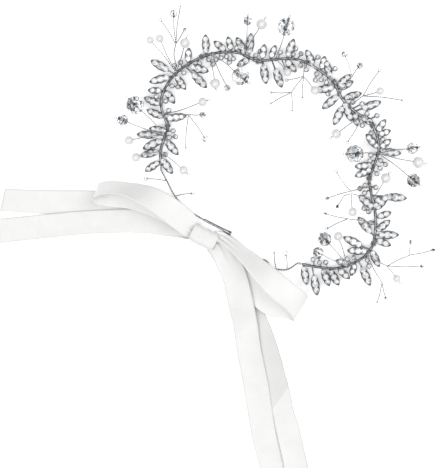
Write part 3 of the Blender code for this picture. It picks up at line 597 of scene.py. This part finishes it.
# Each sprig: the spray that it is bound to (counted from 0), the station of its post, and
# its wires as (start, heading, reach, height of the end, what is on the end). Start 0 is
# the top of the post, and start n is the end of the n-th wire.
SPRIGS = [
    ((0, 16.0),
        [(0, 135, 20.5, 10.5, "crystal_1"), (0, 161, 22.0, 7.0, "crystal_2"),
        (0, -171, 18.0, 6.5, ("pearl", 4.5))]),
    ((0, 7.5), [(0, -166, 12.5, 6.5, ("pearl", 4.5)), (0, -39, 15.0, 7.5, "pearl_1")]),
    ((1, 8.5),
        [(0, 18, 20.5, 8.0, "pearl_2"), (0, 0, 12.5, 8.0, None),
        (2, 0, 7.0, 7.0, ("glass", 3.4)), (2, -55, 14.5, 7.0, ("glass", 3.4)),
        (2, -95, 17.0, 6.0, LOOP)]),
    ((1, 32.0),
        [(0, 97, 9.0, 8.0, None), (1, 79, 5.0, 9.0, None), (2, 122, 14.0, 10.0, LOOP),
        (2, 94, 15.0, 10.0, ("glass", 4.0)), (2, 59, 8.5, 8.0, SEED),
        (2, 83, 19.5, 9.0, SEED), (0, 129, 20.5, 8.0, ("pearl", 4.0)),
        (0, 116, 18.5, 9.0, ("pearl", 4.0)), (0, 73, 15.0, 9.0, "pearl_3")]),
    ((2, 8.5),
        [(0, -84, 15.5, 9.0, "pearl_4"), (0, -40, 18.5, 9.0, "crystal_3"),
        (0, -66, 19.0, 6.5, ("glass", 3.4))]),
    ((2, 25.0), [(0, 85, 16.5, 8.0, "crystal_4"), (0, 60, 17.0, 8.0, "pearl_5")]),
    ((3, 12.0), [(0, 72, 16.5, 9.0, "crystal_5"), (0, -50, 9.0, 8.0, ("pearl", 4.0))]),
    ((3, 27.0),
        [(0, -98, 7.5, 8.5, None), (1, -167, 8.5, 8.0, LOOP), (1, -127, 10.0, 8.0, None),
        (3, 180, 10.5, 7.0, LOOP), (3, -152, 12.0, 7.0, LOOP), (3, -87, 9.5, 7.0, LOOP),
        (1, -93, 11.0, 8.0, LOOP), (1, -52, 9.0, 8.0, ("pearl", 4.5))]),
    ((4, 9.5),
        [(0, 53, 10.0, 8.0, None), (1, 55, 6.5, 8.0, ("glass", 3.4)),
        (1, 109, 11.5, 8.0, ("glass", 3.4))]),
    ((4, 17.5),
        [(0, 35, 8.0, 8.0, None), (1, 57, 15.0, 8.0, LOOP),
        (1, 16, 9.0, 8.0, ("pearl", 4.0)), (1, -6, 20.0, 7.0, LOOP)]),
    ((4, 26.0), [(0, -146, 16.0, 7.0, "pearl_6"), (0, -120, 15.0, 6.0, LOOP)]),
    ((5, 17.5),
        [(0, -178, 12.0, 9.5, "crystal_6"), (0, 8, 17.0, 7.5, "crystal_7"),
        (0, -13, 20.5, 6.5, "pearl_7"), (0, -38, 22.0, 8.0, "crystal_8")]),
    ((6, 7.5),
        [(0, -169, 10.5, 7.5, None), (1, 126, 12.0, 6.5, LOOP), (1, -163, 12.0, 6.0, SEED)]),
    ((6, 13.0),
        [(0, 58, 11.5, 9.0, "pearl_8"), (0, 169, 11.0, 7.0, None), (2, -166, 4.0, 7.0, None),
        (3, -121, 6.0, 6.5, SEED), (2, -87, 9.0, 7.0, ("pearl", 4.5))]),
    ((6, 26.0),
        [(0, 170, 14.5, 7.0, None), (1, 167, 11.5, 7.0, SEED), (1, -155, 11.5, 7.0, LOOP)]),
    ((7, 21.0),
        [(0, 130, 17.5, 11.5, "crystal_9"), (0, 155, 16.0, 7.0, ("glass", 5.5)),
        (0, 107, 15.5, 8.5, ("pearl", 4.5))]),
    ((7, 9.5),
        [(0, -30, 11.5, 7.0, None), (1, 26, 12.5, 7.0, None), (2, 12, 12.0, 7.0, SEED),
        (2, 86, 6.5, 7.0, SEED), (1, 0, 17.5, 6.0, SEED), (1, -52, 8.0, 6.5, "pearl_9"),
        (0, -62, 16.0, 7.0, None), (7, -104, 10.5, 6.0, LOOP), (7, -76, 8.0, 7.0, SEED)]),
]

# Beads that turn on their wires: (cut, diameter) of the crystals, diameters of the pearls.
CRYSTALS = [("globe", 9.0), ("bicone", 6.0), ("globe", 9.0), ("cube", 5.0), ("globe", 9.0)]
CRYSTALS += [("globe", 9.0), ("globe", 6.0), ("globe", 7.0), ("globe", 7.0)]
PEARLS = [4.5, 4.5, 5.0, 5.0, 5.5, 5.0, 6.0, 5.0, 4.0]
BEADS = {f"crystal_{n + 1}": cut for n, cut in enumerate(CRYSTALS)}
BEADS.update({f"pearl_{n + 1}": ("pearl", size) for n, size in enumerate(PEARLS)})
BORE = 1.3
# Bodies of the sprigs that sway; each of the others rides with its spray.
SWAYING = {b[5:] for b in frame["bodies"] if b.startswith("twig_")}


def glass():
    """Cut lead glass, clear and polished: it bends the light, and its colour holds black, grey and
    white patches, a painted reflection of its facets.
    """
    made, tree, shader = material(
        "cut_lead_glass", Transmission_Weight=1.0, Roughness=0.02, IOR=1.58
    )
    place = add(tree, "ShaderNodeTexCoord").outputs["Object"]
    cells = add(tree, "ShaderNodeTexVoronoi", {"Scale": 1 / (FACET * MM)}, {"Vector": place})
    grey = add(tree, "ShaderNodeRGBToBW", links={"Color": cells.outputs["Color"]})
    # painted reflection: black, grey and white patches stand for facets that mirror dark and
    # bright surroundings
    stops = [(0.0, "#34373A"), (0.25, "#A6ABB0"), (0.46, "#FFFFFF")]
    tone = add(tree, "ShaderNodeValToRGB", links={"Fac": grey.outputs["Val"]}, stops=stops)
    tone.color_ramp.interpolation = "CONSTANT"
    drive(tree, shader, Base_Color=tone.outputs[0])
    return made


def pearl_coat():
    """A glass bead dipped in pearl lacquer: milky, with a soft gloss and faint clouds."""
    made, tree, shader = material(
        "pearl_lacquered_glass", Roughness=0.22, Coat_Weight=1.0, Coat_Roughness=0.08
    )
    place = add(tree, "ShaderNodeTexCoord").outputs["Object"]
    cloud = add(
        tree, "ShaderNodeTexNoise", {"Scale": 1 / (1.8 * MM), "Detail": 3.0}, {"Vector": place}
    )
    stops = [(0.0, "#D6D5D3"), (1.0, "#E9E8E6")]
    tone = add(tree, "ShaderNodeValToRGB", links={"Fac": cloud.outputs["Fac"]}, stops=stops)
    drive(tree, shader, Base_Color=tone.outputs[0])
    return made


def twisted(path, strand=STRAND, twist=TWIST, axis=(0.0, 0.0, 1.0)):
    """Two strands half a turn apart: each is the path plus a circle as wide as one strand,
    turned once in every twist's length."""
    turn = 2 * pi * run(path)[:, None] / twist
    tubes = []
    for shift in (0.0, pi):
        u, v = np.cos(turn + shift), np.sin(turn + shift)
        strand_path = carried(path, u * strand / 2, v * strand / 2, axis=axis)[:, 0]
        tubes.append(tube(strand_path, strand / 2, 5, axis=axis))
    return tubes


def bowed(begin, end, bow):
    """A wire that leaves and arrives straight, bowed to the side by a squared sine."""
    length = float(np.linalg.norm(end - begin))
    t = np.linspace(0, 1, max(8, round(length / 0.36)))[:, None]
    side = np.cross(end - begin, [0, 0, 1.0]) / length
    return begin + (end - begin) * t + side * (bow * length) * np.sin(pi * t) ** 2


def loop(centre, radius, gauge, way):
    """A ring of wire whose plane holds the wire it ends."""
    t = 2 * pi * np.arange(18)[:, None] / 18
    side = np.cross([0, 0, 1.0], way)
    side /= np.linalg.norm(side)
    return tube(centre + radius * (np.cos(t) * way + np.sin(t) * side), gauge / 2, 6, True)


def lathe(profile, columns, shift=0.0):
    """A closed profile (distance from the axis, height) turned about +Z."""
    r, z = np.array(profile).T[:, :, None]
    q = 2 * pi * (np.arange(columns)[None] + shift) / columns
    points = np.stack([r * np.cos(q), r * np.sin(q), z + 0 * q], -1).reshape(-1, 3)
    return points, grid(len(profile), columns, True, True)


def globe(radius, hole, belts=6, columns=10):
    """A faceted ball with a bore: rings of points on a sphere, every second one turned by
    half a step, joined by triangles, with the first and last ring joined through the bore."""
    polar = np.linspace(np.arcsin(hole / radius), pi - np.arcsin(hole / radius), belts + 1)
    i, j = np.arange(belts + 1)[:, None], np.arange(columns)[None]
    q = 2 * pi * (j + 0.5 * (i % 2)) / columns
    flat, up = radius * np.sin(polar)[:, None], radius * np.cos(polar)[:, None]
    points = np.stack([flat * np.cos(q), flat * np.sin(q), up + 0 * q], -1).reshape(-1, 3)
    i, odd = i[:-1], i[:-1] % 2
    a, b = i * columns + j, i * columns + (j + 1) % columns
    c, d = (i + 1) * columns + j, (i + 1) * columns + (j + 1) % columns
    one = np.stack(np.broadcast_arrays(a, b, np.where(odd, d, c)), -1).reshape(-1, 3)
    two = np.stack(np.broadcast_arrays(np.where(odd, a, b), d, c), -1).reshape(-1, 3)
    bore = grid(2, columns, False, True)
    bore = np.where(bore >= columns, bore - columns, bore + belts * columns)
    return points, [*one, *two, *bore]


def bead(kind, diameter):
    """A bead about +Z with its bore."""
    radius, hole = diameter / 2, BORE / 2
    if kind == "pearl":
        polar = np.linspace(np.arcsin(hole / radius), pi - np.arcsin(hole / radius), 15)
        return lathe(np.stack([radius * np.sin(polar), radius * np.cos(polar)], -1), 22)
    if kind == "bicone":
        high, rim = 0.85 * radius, 0.42 * radius
        return lathe([(hole, high), (rim, high), (radius, 0), (rim, -high), (hole, -high)], 8)
    if kind == "cube":
        high, rim = 0.82 * radius, 0.9 * radius
        profile = [(hole, high), (rim * 0.8, high), (rim * 1.25, high * 0.6)]
        return lathe(profile + [(r, -z) for r, z in reversed(profile)], 4, 0.5)
    return globe(radius, hole)


def aimed(points, way, at):
    """Points turned so that +Z runs along way, then placed."""
    way = way / np.linalg.norm(way)
    side = np.cross([0.0, 0.0, 1.0], way)
    side /= np.linalg.norm(side)
    return points @ np.array([side, np.cross(way, side), way]) + at


clear_glass = glass()
pearl_white = pearl_coat()
for index, ((spray, station), wires) in enumerate(SPRIGS):
    name = f"sprig_{index + 1}"
    body = f"twig_{index + 1}" if str(index + 1) in SWAYING else BODIES[spray]
    foot = along(stem_path(spray), [station])[0] + [0, 0, STEM_HEIGHT + CLEARANCE]
    top = np.array([foot[0], foot[1], RISE])
    post = np.linspace(foot, top, 14)
    metal = twisted(post, 0.36, axis=(1.0, 0.0, 0.0))
    held = {"pearl": [], "glass": []}
    ends = [top]
    for number, (start, heading, reach, height, tip) in enumerate(wires):
        begin = ends[start]
        end = begin + ahead(heading, reach)
        end[2] = height
        ends.append(end)
        way = (end - begin) / np.linalg.norm(end - begin)
        metal += twisted(bowed(begin, end, BOW * (-1) ** number))
        if isinstance(tip, tuple):
            kind, size = tip
            ball = sphere([0, 0, 0], size / 2, 10, 14) if kind == "pearl" else globe(size / 2, 0.3)
            held[kind].append((aimed(ball[0], way, end), ball[1]))
        elif tip == LOOP:
            metal.append(loop(end, 0.75, STRAND, way))
        elif tip:
            kind, size = BEADS[tip]
            points, faces = bead(kind, size)
            finish = pearl_white if kind == "pearl" else clear_glass
            made = [(aimed(points, way, end), faces)]
            piece(f"{tip}_bead", made, finish, f"{tip}_bead", [tip], kind == "pearl")
            past = end + way * (size / 2 + 0.3)
            metal += twisted(np.linspace(end, past, max(6, round(size / 0.8))))
            metal.append(loop(past + way * 0.55, 0.55, STRAND, way))
    piece(f"{name}_wires", metal, plated_wire, body, [name])
    if held["pearl"]:
        piece(f"{name}_pearls", held["pearl"], pearl_white, body, [])
    if held["glass"]:
        piece(f"{name}_glass", held["glass"], clear_glass, body, [], False)
    at, after = along(stem_path(spray), [station, station + 1])
    heading = np.degrees(np.arctan2(after[1] - at[1], after[0] - at[0]))
    size = (BINDING_HALF, BINDING_BOTTOM, STEM_HEIGHT + 0.1)
    binding = coil(at, heading, *size, BINDING_TURNS, BINDING_PITCH, STRAND)
    piece(f"{name}_binding", [binding], plated_wire, BODIES[spray], [])

# ----------------------------------------------
# The end wires. Past the first and last spray two thicker strands are twisted into a core.
# The left one ends in a crimped bar beside the bow, and the right one in a round eye.

CORE_STRAND = 0.5
WIRE_GAP = 1.2  # between the end of a spray's stem and its core
EYE_AT = np.array([-3.6, -51.4, 1.8])  # from the ring's centre
EYE_DIAMETER = 6.0

# Points of the cores from the ring's centre, and their twigs as (point, heading, reach,
# diameter of the seed bead).
END_WIRES = {
    "left": (
        [(-51.5, -9.0, 1.5), (-47.5, -16.5, 1.4), (-42.0, -22.5, 1.4), (-37.0, -26.0, 2.2)]
        + [(-33.0, -28.4, 4.0), (-26.0, -31.9, 4.4), (-19.5, -35.3, 4.4)],
        [(1, 174, 10.5, 2.0), (2, 8, 9.0, 2.0)],
    ),
    "right": (
        [(8.5, -53.2, 2.6), (3.0, -53.0, 1.9), (-0.9, -52.2, 1.8)],
        [(1, 95, 8.0, 2.5), (2, 97, 8.5, 1.5)],
    ),
}
for side, (points, twigs) in END_WIRES.items():
    last = stem_path(0)[:2] if side == "left" else stem_path(len(SPRAYS) - 1)[:-3:-1]
    out = (last[0] - last[1]) / np.linalg.norm(last[0] - last[1])
    start = last[0] + out * (WIRE_GAP + 0.5) + [0, 0, STEM_HEIGHT / 2]
    path = np.vstack([last[0] + [0, 0, STEM_HEIGHT / 2], start, np.array(points) + RING_AT])
    metal = twisted(smooth(path[1:], 0.4), CORE_STRAND, 2.6)
    metal.append(tube(path[:2], 0.5, 8))
    for number, (at, heading, reach, size) in enumerate(twigs):
        begin = path[at + 1]
        end = begin + ahead(heading, reach) + [0, 0, 1.0]
        metal += twisted(bowed(begin, end, 0.03 * (-1) ** number))
        metal.append(loop(end, size / 2 - STRAND / 2, STRAND * 1.2, ahead(heading)))
    if side == "left":
        bar = smooth(path[-3:], 0.5)
        swell = 0.68 + 0.4 * np.exp(-(((run(bar)[-1] - run(bar)) / 2.4) ** 2))
        crimp = [tube(bar, swell, 12)]
        piece("end_wire_left_crimp", crimp, silver, BODIES[0], [])
    else:
        turn = 2 * pi * np.arange(48)[:, None] / 48
        ring = np.hstack([np.cos(turn), np.sin(turn), 0 * turn]) * EYE_DIAMETER / 2
        metal.append(tube(EYE_AT + RING_AT + ring, CORE_STRAND, 10, True))
    body = BODIES[0] if side == "left" else BODIES[-1]
    name = f"end_wire_{side}"
    piece(f"{name}_twist", metal, plated_wire, body, [name])

# ----------------------------------------------
# The bow. One length of white satin ribbon, woven in polyester, is tied in a bow with two
# loops and four tails. Its face is bright and smooth, its back duller, its edges woven firm.

RIBBON_WIDTH = 12.5
RIBBON_THICKNESS = 0.3
KNOT_AT = np.array([-33.0, -37.0, 0.0])
KNOT_HEADING = -27.0
KNOT_LENGTH, KNOT_WIDTH, KNOT_HEIGHT = 12.5, 9.0, 9.0
WEFT = 0.5  # spacing of the weft lines, drawn coarser than the real 0.1 so that they show
FLOAT_SHARE = 0.12  # how fast the weft lines change across the ribbon, in steps a millimetre
EDGE_CORD = 0.45  # spacing of the cords of the woven edge
EDGE_WIDTH = 0.65
PLEATS = 3  # folds across a ribbon where the knot gathers it
PLEAT_FADE = 9.0  # distance from the knot in which they die out

# Each strip from the knot outwards, as rows of (x, y, height, heading of the line across
# it, rise of that line, width as a share of the ribbon's own), from the ring's centre.
STRIPS = {
    "bow_loop_left": [
        (-40.2, -31.2, 6.6, 56, 0, 0.92), (-49.0, -24.0, 9.5, 50, -10, 1.0),
        (-59.0, -17.5, 11.0, 54, -30, 1.0), (-71.0, -13.3, 11.0, 65, -55, 1.0),
        (-81.0, -12.5, 10.0, 72, -55, 1.0), (-87.0, -14.5, 6.8, 72, -45, 1.0),
        (-82.0, -16.0, 4.6, 78, -28, 1.0), (-67.5, -17.5, 3.4, 75, -15, 1.0),
        (-51.0, -24.5, 3.0, 60, -5, 0.9), (-40.6, -33.0, 3.2, 56, 0, 0.65),
    ],
    "bow_loop_right": [
        (-24.6, -36.6, 6.2, 52, -35, 0.6), (-17.2, -42.0, 9.4, 42, -50, 0.8),
        (-8.0, -50.5, 11.0, 40, -40, 0.95), (3.5, -61.5, 10.8, 48, -12, 1.0),
        (12.5, -69.0, 8.6, 52, 0, 1.0), (15.0, -73.0, 5.6, 60, 0, 1.05),
        (9.0, -71.5, 3.4, 74, 0, 1.0), (-1.5, -69.0, 3.2, 74, 0, 1.0),
        (-14.5, -57.0, 4.4, 60, 0, 0.9), (-25.2, -43.0, 5.2, 56, 0, 0.5),
    ],
    "tail_left_upper": [
        (-40.4, -33.4, 0.5, 62, 0, 0.7), (-50.0, -27.5, 0.5, 68, 0, 1.0),
        (-70.0, -21.5, 0.5, 84, 0, 1.0), (-90.0, -20.0, 0.5, 90, 0, 1.0),
        (-112.0, -19.5, 0.5, 92, 0, 0.95), (-133.7, -18.5, 0.5, 77, 0, 0.9),
    ],
    "tail_left_lower": [
        (-40.6, -33.4, 1.5, 62, 0, 0.8), (-50.0, -30.6, 1.4, 74, 0, 1.0),
        (-65.0, -29.0, 1.4, 88, 0, 0.95), (-90.0, -29.6, 1.4, 92, 0, 0.93),
        (-112.0, -31.6, 1.4, 95, 0, 0.95), (-135.0, -34.0, 0.9, 96, 0, 0.97),
        (-152.0, -36.0, 0.5, 96, 0, 1.0),
    ],
    "tail_down_left": [
        (-25.8, -41.6, 7.2, 40, 0, 0.85), (-22.0, -47.8, 7.4, 28, 0, 0.92),
        (-17.6, -57.3, 6.8, 22, 0, 0.97), (-14.8, -69.5, 5.6, 14, 0, 1.0),
        (-12.3, -81.0, 3.0, 10, 0, 0.97), (-10.5, -93.5, 1.6, 9, 0, 0.97),
        (-6.8, -112.5, 1.4, 12, 0, 1.0), (-3.2, -135.0, 1.4, 13, 0, 0.97),
        (0.8, -152.5, 1.4, 12, 0, 0.92), (3.0, -170.0, 1.4, 12, 0, 0.95),
    ],
    "tail_down_right": [
        (-27.0, -43.2, 0.5, 40, 0, 0.6), (-18.0, -55.4, 0.5, 32, 0, 0.9),
        (-12.5, -70.0, 0.5, 30, 0, 1.0), (-5.5, -84.0, 0.5, 24, 0, 1.0),
        (-0.5, -99.0, 0.5, 20, 0, 1.0), (2.0, -109.0, 0.6, 38, 0, 1.1),
        (4.9, -118.9, 0.9, 54.5, 0, 1.27), (6.3, -127.5, 0.6, 35, 0, 1.08),
        (9.0, -134.5, 0.5, 13, 0, 0.95), (13.0, -152.0, 0.5, 13, 0, 0.95),
        (17.0, -168.0, 0.5, 14, 0, 0.95),
    ],
}


def satin(name, pale, dark, rough, sheen):
    """Satin ribbon on its own UV, one unit a millimetre: long floats that catch the light in
    fine weft lines, a little uneven, with a firm corded edge along both sides."""
    made, tree, shader = material(
        name, Roughness=rough, Sheen_Weight=sheen, Sheen_Roughness=0.4, Anisotropic=0.4
    )
    place = add(tree, "ShaderNodeUVMap", uv_map="cloth").outputs["UV"]
    across, lengthwise, _ = add(tree, "ShaderNodeSeparateXYZ", links={"Vector": place}).outputs
    weave = {"Scale": (FLOAT_SHARE, 1 / WEFT, 1.0)}
    stretched = add(tree, "ShaderNodeMapping", weave, {"Vector": place}).outputs["Vector"]
    fine = {"Scale": 1.0, "Detail": 4.0, "Roughness": 0.6}
    weft = add(tree, "ShaderNodeTexNoise", fine, {"Vector": stretched})
    cloud = add(tree, "ShaderNodeTexNoise", {"Scale": 0.11, "Detail": 2.0}, {"Vector": place})
    math, weft, cloud = "ShaderNodeMath", weft.outputs["Fac"], cloud.outputs["Fac"]
    mixed = add(tree, math, {2: 0.12}, {0: weft, 1: cloud}, operation="MULTIPLY_ADD")
    stops = [(0.2, dark), (0.52, pale)]
    tone = add(tree, "ShaderNodeValToRGB", links={"Fac": mixed.outputs[0]}, stops=stops)
    half = RIBBON_WIDTH / 2
    off = add(tree, math, {1: half}, {0: across}, operation="SUBTRACT").outputs[0]
    off = add(tree, math, links={0: off}, operation="ABSOLUTE").outputs[0]
    band = {"From Min": half - EDGE_WIDTH - 0.1, "From Max": half - EDGE_WIDTH + 0.1}
    edge = add(tree, "ShaderNodeMapRange", band, {"Value": off}).outputs["Result"]
    cords = add(tree, math, {1: 2 * pi / EDGE_CORD}, {0: lengthwise}, operation="MULTIPLY")
    picot = add(tree, math, links={0: cords.outputs[0]}, operation="SINE").outputs[0]
    raised = add(tree, math, links={0: picot, 1: edge}, operation="MULTIPLY").outputs[0]
    relief = add(tree, math, {1: 0.35}, {0: raised, 2: weft}, operation="MULTIPLY_ADD")
    low = {"Strength": 0.3, "Distance": 0.06 * MM}
    bump = add(tree, "ShaderNodeBump", low, {"Height": relief.outputs[0]})
    drive(tree, shader, Base_Color=tone.outputs[0], Normal=bump.outputs[0])
    return made


def cloth(name, points, length, replaced, sides, shaded_back_share=0.0, top_row=0):
    """A grid of points (along, across, xyz) as a ribbon piece with its flat size as its UV.
    Its face is up at top_row, but as far as the share shaded_back_share of its length it wears the
    back's satin, duller and painted a shade darker."""
    rows, columns = points.shape[:2]
    faces = grid(rows, columns)
    corner, beside, after = points[top_row, 0], points[top_row, -1], points[top_row + 1, 0]
    if np.cross(beside - corner, after - corner)[2] < 0:
        faces = faces[:, ::-1]
    mesh = bpy.data.meshes.new(name)
    mesh.from_pydata((points.reshape(-1, 3) * MM).tolist(), [], faces.tolist())
    down, over = np.linspace(0, length, rows), np.linspace(0, RIBBON_WIDTH, columns)
    flat = np.stack(np.meshgrid(down, over, indexing="ij")[::-1], -1).reshape(-1, 2)
    uv = mesh.uv_layers.new(name="cloth")
    uv.data.foreach_set("uv", flat[faces.reshape(-1)].astype(np.float32).reshape(-1))
    mesh.shade_smooth()
    obj = placed(name, mesh, sides, "bow_end", [replaced])
    wall = obj.modifiers.new("cloth_thickness", "SOLIDIFY")
    wall.thickness = RIBBON_THICKNESS * MM
    wall.offset = 0.0
    # rows before shaded_back_share get the back's satin, whose darker colour is a painted shade
    shown = np.repeat((np.arange(rows - 1) < shaded_back_share * rows).astype(np.int32), columns - 1)
    mesh.polygons.foreach_set("material_index", shown)
    wall.material_offset = 1
    return obj


def strip(rows, columns=21):
    """A ribbon's face: the row's line across at v = -1..1, crowned by 1 - v², and pleated by
    a cosine deep enough to take up the width that the row's share leaves out."""
    rows = np.array(rows, float)
    for end in (0, -1):  # runs on into the knot, drawn in
        more = rows[end].copy()
        if np.linalg.norm(more[:2] - KNOT_AT[:2]) < 13:
            more[:2] = KNOT_AT[:2] + 0.35 * (more[:2] - KNOT_AT[:2])
            more[2], more[4], more[5] = np.clip(more[2], 2.5, 4.8), 0.2 * more[4], 0.55
            rows = np.vstack([more, rows] if end == 0 else [rows, more])
    rows = smooth(rows, 0.8)
    place = rows[:, :3] + RING_AT
    heading, rise = np.radians(rows[:, 3]), np.radians(rows[:, 4])
    share = rows[:, 5]
    line = np.stack(
        [np.cos(heading) * np.cos(rise), np.sin(heading) * np.cos(rise), np.sin(rise)], -1
    )
    way = np.gradient(place, axis=0)
    top = np.cross(way, line)
    top /= np.linalg.norm(top, axis=1, keepdims=True)
    v = np.linspace(-1, 1, columns)[None]
    from_knot = np.linalg.norm(rows[:, :2] - KNOT_AT[:2], axis=1)
    fade = np.exp(-((np.maximum(from_knot - 7, 0) / PLEAT_FADE) ** 2))[:, None]
    lost = np.clip(1 / share - 1, 0, 0.6)[:, None]
    deep = RIBBON_WIDTH * share[:, None] / (2 * pi * PLEATS) * np.sqrt(4 * lost) * fade
    far = run(place)[:, None]
    wave = 0.10 * np.sin(far / 9.0 + 1.5 * v) * (1 - fade)
    up = deep * np.cos(PLEATS * pi * (v + 0.12 * np.sin(far / 7))) + 0.12 * (1 - v**2) + wave
    half = (RIBBON_WIDTH / 2 * share)[:, None]
    face = place[:, None] + line[:, None] * (half * v)[..., None]
    return face + top[:, None] * up[..., None], far[-1, 0]


laid_flat = [  # face and back
    satin("white_satin_ribbon_face", "#E4E4E3", "#DCDCDB", 0.4, 0.25),
    # the back's satin is duller, and its darker colour is a painted shade for the upper part of
    # the right tail
    satin("white_satin_ribbon_back_and_painted_shade", "#DADAD9", "#D2D2D1", 0.6, 0.1),
]
loops_painted_lighter = [  # the loops stand clear of the table; these lighter copies of the satin are painted light on their shaded slopes and insides
    satin("white_satin_ribbon_loop_face_painted_light", "#ECECEB", "#E5E5E4", 0.4, 0.25),
    satin("white_satin_ribbon_loop_inside_painted_light", "#ECECEB", "#E5E5E4", 0.6, 0.1),
]
SHADED_BACK_TO = 0.628  # share of the right tail down to its diagonal crease, above which it wears the back's satin: duller, and darker as a painted shade
for name, rows in STRIPS.items():
    face, length = strip(rows)
    tail_shaded_back = SHADED_BACK_TO if name == "tail_down_right" else 0.0
    held = "folded" if "loop" in name or tail_shaded_back else "laid"
    # the loops get the lighter copies of the satin, painted light
    sides = loops_painted_lighter if "loop" in name else laid_flat
    cloth(f"{name}_ribbon", face, length, name, sides, tail_shaded_back)

# The band that is wound round the middle and drawn tight, with creases along it.
t = np.linspace(-pi / 2 - 0.35, 1.5 * pi + 0.35, 97)[None]
u = np.linspace(-1, 1, 25)[:, None]
pull = 1 - 0.07 * np.abs(u) ** 3
crease = 0.1 * np.cos(3.2 * pi * u + 0.7 * np.sin(t)) * (1 - 0.4 * np.abs(u))
overlap = 0.35 * (t + pi / 2 + 0.35) / (2 * pi)
wide = (KNOT_WIDTH / 2 - 0.1) * pull + crease + overlap
high = (KNOT_HEIGHT / 2 - 0.6) * pull + crease + overlap
cos_t, sin_t = np.cos(t), np.sin(t)
y = wide * np.sign(cos_t) * np.abs(cos_t) ** 0.55
z = high * np.sign(sin_t) * np.abs(sin_t) ** 0.55 + KNOT_HEIGHT / 2 + 0.1
x = u * (KNOT_LENGTH / 2 + 0.3) * (1 - 0.03 * np.cos(2 * t)) + 0 * t
band = np.stack([x, y, z], -1).transpose(1, 0, 2)
length = float(run(band[:, 12])[-1])
band = turned(band.reshape(-1, 3), KNOT_HEADING, 0, RING_AT + KNOT_AT).reshape(band.shape)
cloth("bow_knot_ribbon", band, length, "bow_knot", laid_flat, 0.0, 48)

# The strand from the knot through the right eye and back, gathered in small pleats.
start = KNOT_AT + ahead(KNOT_HEADING, KNOT_LENGTH / 2 + 0.6) + ahead(KNOT_HEADING + 90, 1.8)
way = EYE_AT - start
heading = float(np.degrees(np.arctan2(way[1], way[0])))
near = float(np.hypot(way[0], way[1])) - EYE_DIAMETER / 2
gap = 1.3
route = smooth(
    [(-2.0, 0, EYE_AT[2] + gap + 0.4), (near - 4, 0, EYE_AT[2] + gap), (near, 0, EYE_AT[2] + gap)]
    + [(near + 1.4, 0, EYE_AT[2]), (near, 0, EYE_AT[2] - gap), (near - 4, 0, EYE_AT[2] - gap)]
    + [(-2.0, 0, EYE_AT[2] - gap)],
    0.5,
)
v = np.linspace(-1, 1, 65)
pleated = 0.52 * np.abs((4 * v) % 2 - 1) * 2 - 0.52
path = turned(route, heading, 0, RING_AT + start * [1, 1, 0])
side = ahead(heading + 90)
way = np.gradient(path, axis=0)
way /= np.linalg.norm(way, axis=1, keepdims=True)
top = np.cross(way, side)
face = path[:, None] + side * (1.25 * v)[None, :, None] + top[:, None] * pleated[None, :, None]
link = cloth(
    "ribbon_link_strand", face, float(run(path)[-1]), "ribbon_link", laid_flat
)
link.modifiers["cloth_thickness"].thickness = 0.12 * MM

# ----------------------------------------------
# Closing: the table that the crown lies on, plain soft light, the camera and the sizes.

bpy.ops.mesh.primitive_plane_add(size=4.0, location=(0.0, 0.0, -0.0004))
table = bpy.context.object
table.name = "pale_table"
white = srgb("#FFFFFF")
glow = {"Emission_Color": white, "Emission_Strength": 0.3}  # a light table, lit from below
matte, _, _ = material("matt_white_laminate", Base_Color=white, Roughness=0.9, **glow)
table.data.materials.append(matte)
table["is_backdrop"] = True

world = bpy.data.worlds.new("studio")
bpy.context.scene.world = world
world.use_nodes = True
backdrop = world.node_tree.nodes["Background"]
backdrop.inputs["Strength"].default_value = 0.56
ray = add(world.node_tree, "ShaderNodeTexCoord").outputs["Generated"]
height = add(world.node_tree, "ShaderNodeSeparateXYZ", links={"Vector": ray}).outputs["Z"]
stops = [(0.12, "#3C3D40"), (0.45, "#FFFFFF")]  # dark walls round a white ceiling
sky = add(world.node_tree, "ShaderNodeValToRGB", links={"Fac": height}, stops=stops)
world.node_tree.links.new(sky.outputs["Color"], backdrop.inputs["Color"])

LAMPS = [  # name, place, size in metres, power in watts
    ("key", (-0.5, -0.45, 1.7), 1.2, 17.5),
    ("fill", (0.8, 0.3, 1.3), 1.2, 8.0),
]
for name, at, size, power in LAMPS:
    light = bpy.data.lights.new(name, "AREA")
    light.size = size
    light.energy = power
    lamp = bpy.data.objects.new(name, light)
    lamp.location = at
    lamp.rotation_euler = (-lamp.location).to_track_quat("-Z", "Y").to_euler()
    bpy.context.scene.collection.objects.link(lamp)

VIEW_HEIGHT = 0.234  # what the view takes in from top to bottom, in metres
camera = bpy.data.cameras.new("camera")
camera.lens = 150.0
camera.sensor_fit = "VERTICAL"
camera.sensor_height = 36.0
camera.clip_start, camera.clip_end = 0.01, 10.0
holder = bpy.data.objects.new("camera", camera)
holder.location = (0.012, 0.0105, VIEW_HEIGHT * camera.lens / camera.sensor_height)
bpy.context.scene.collection.objects.link(holder)
bpy.context.scene.camera = holder
bpy.context.scene.view_settings.view_transform = "Standard"

low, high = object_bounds()
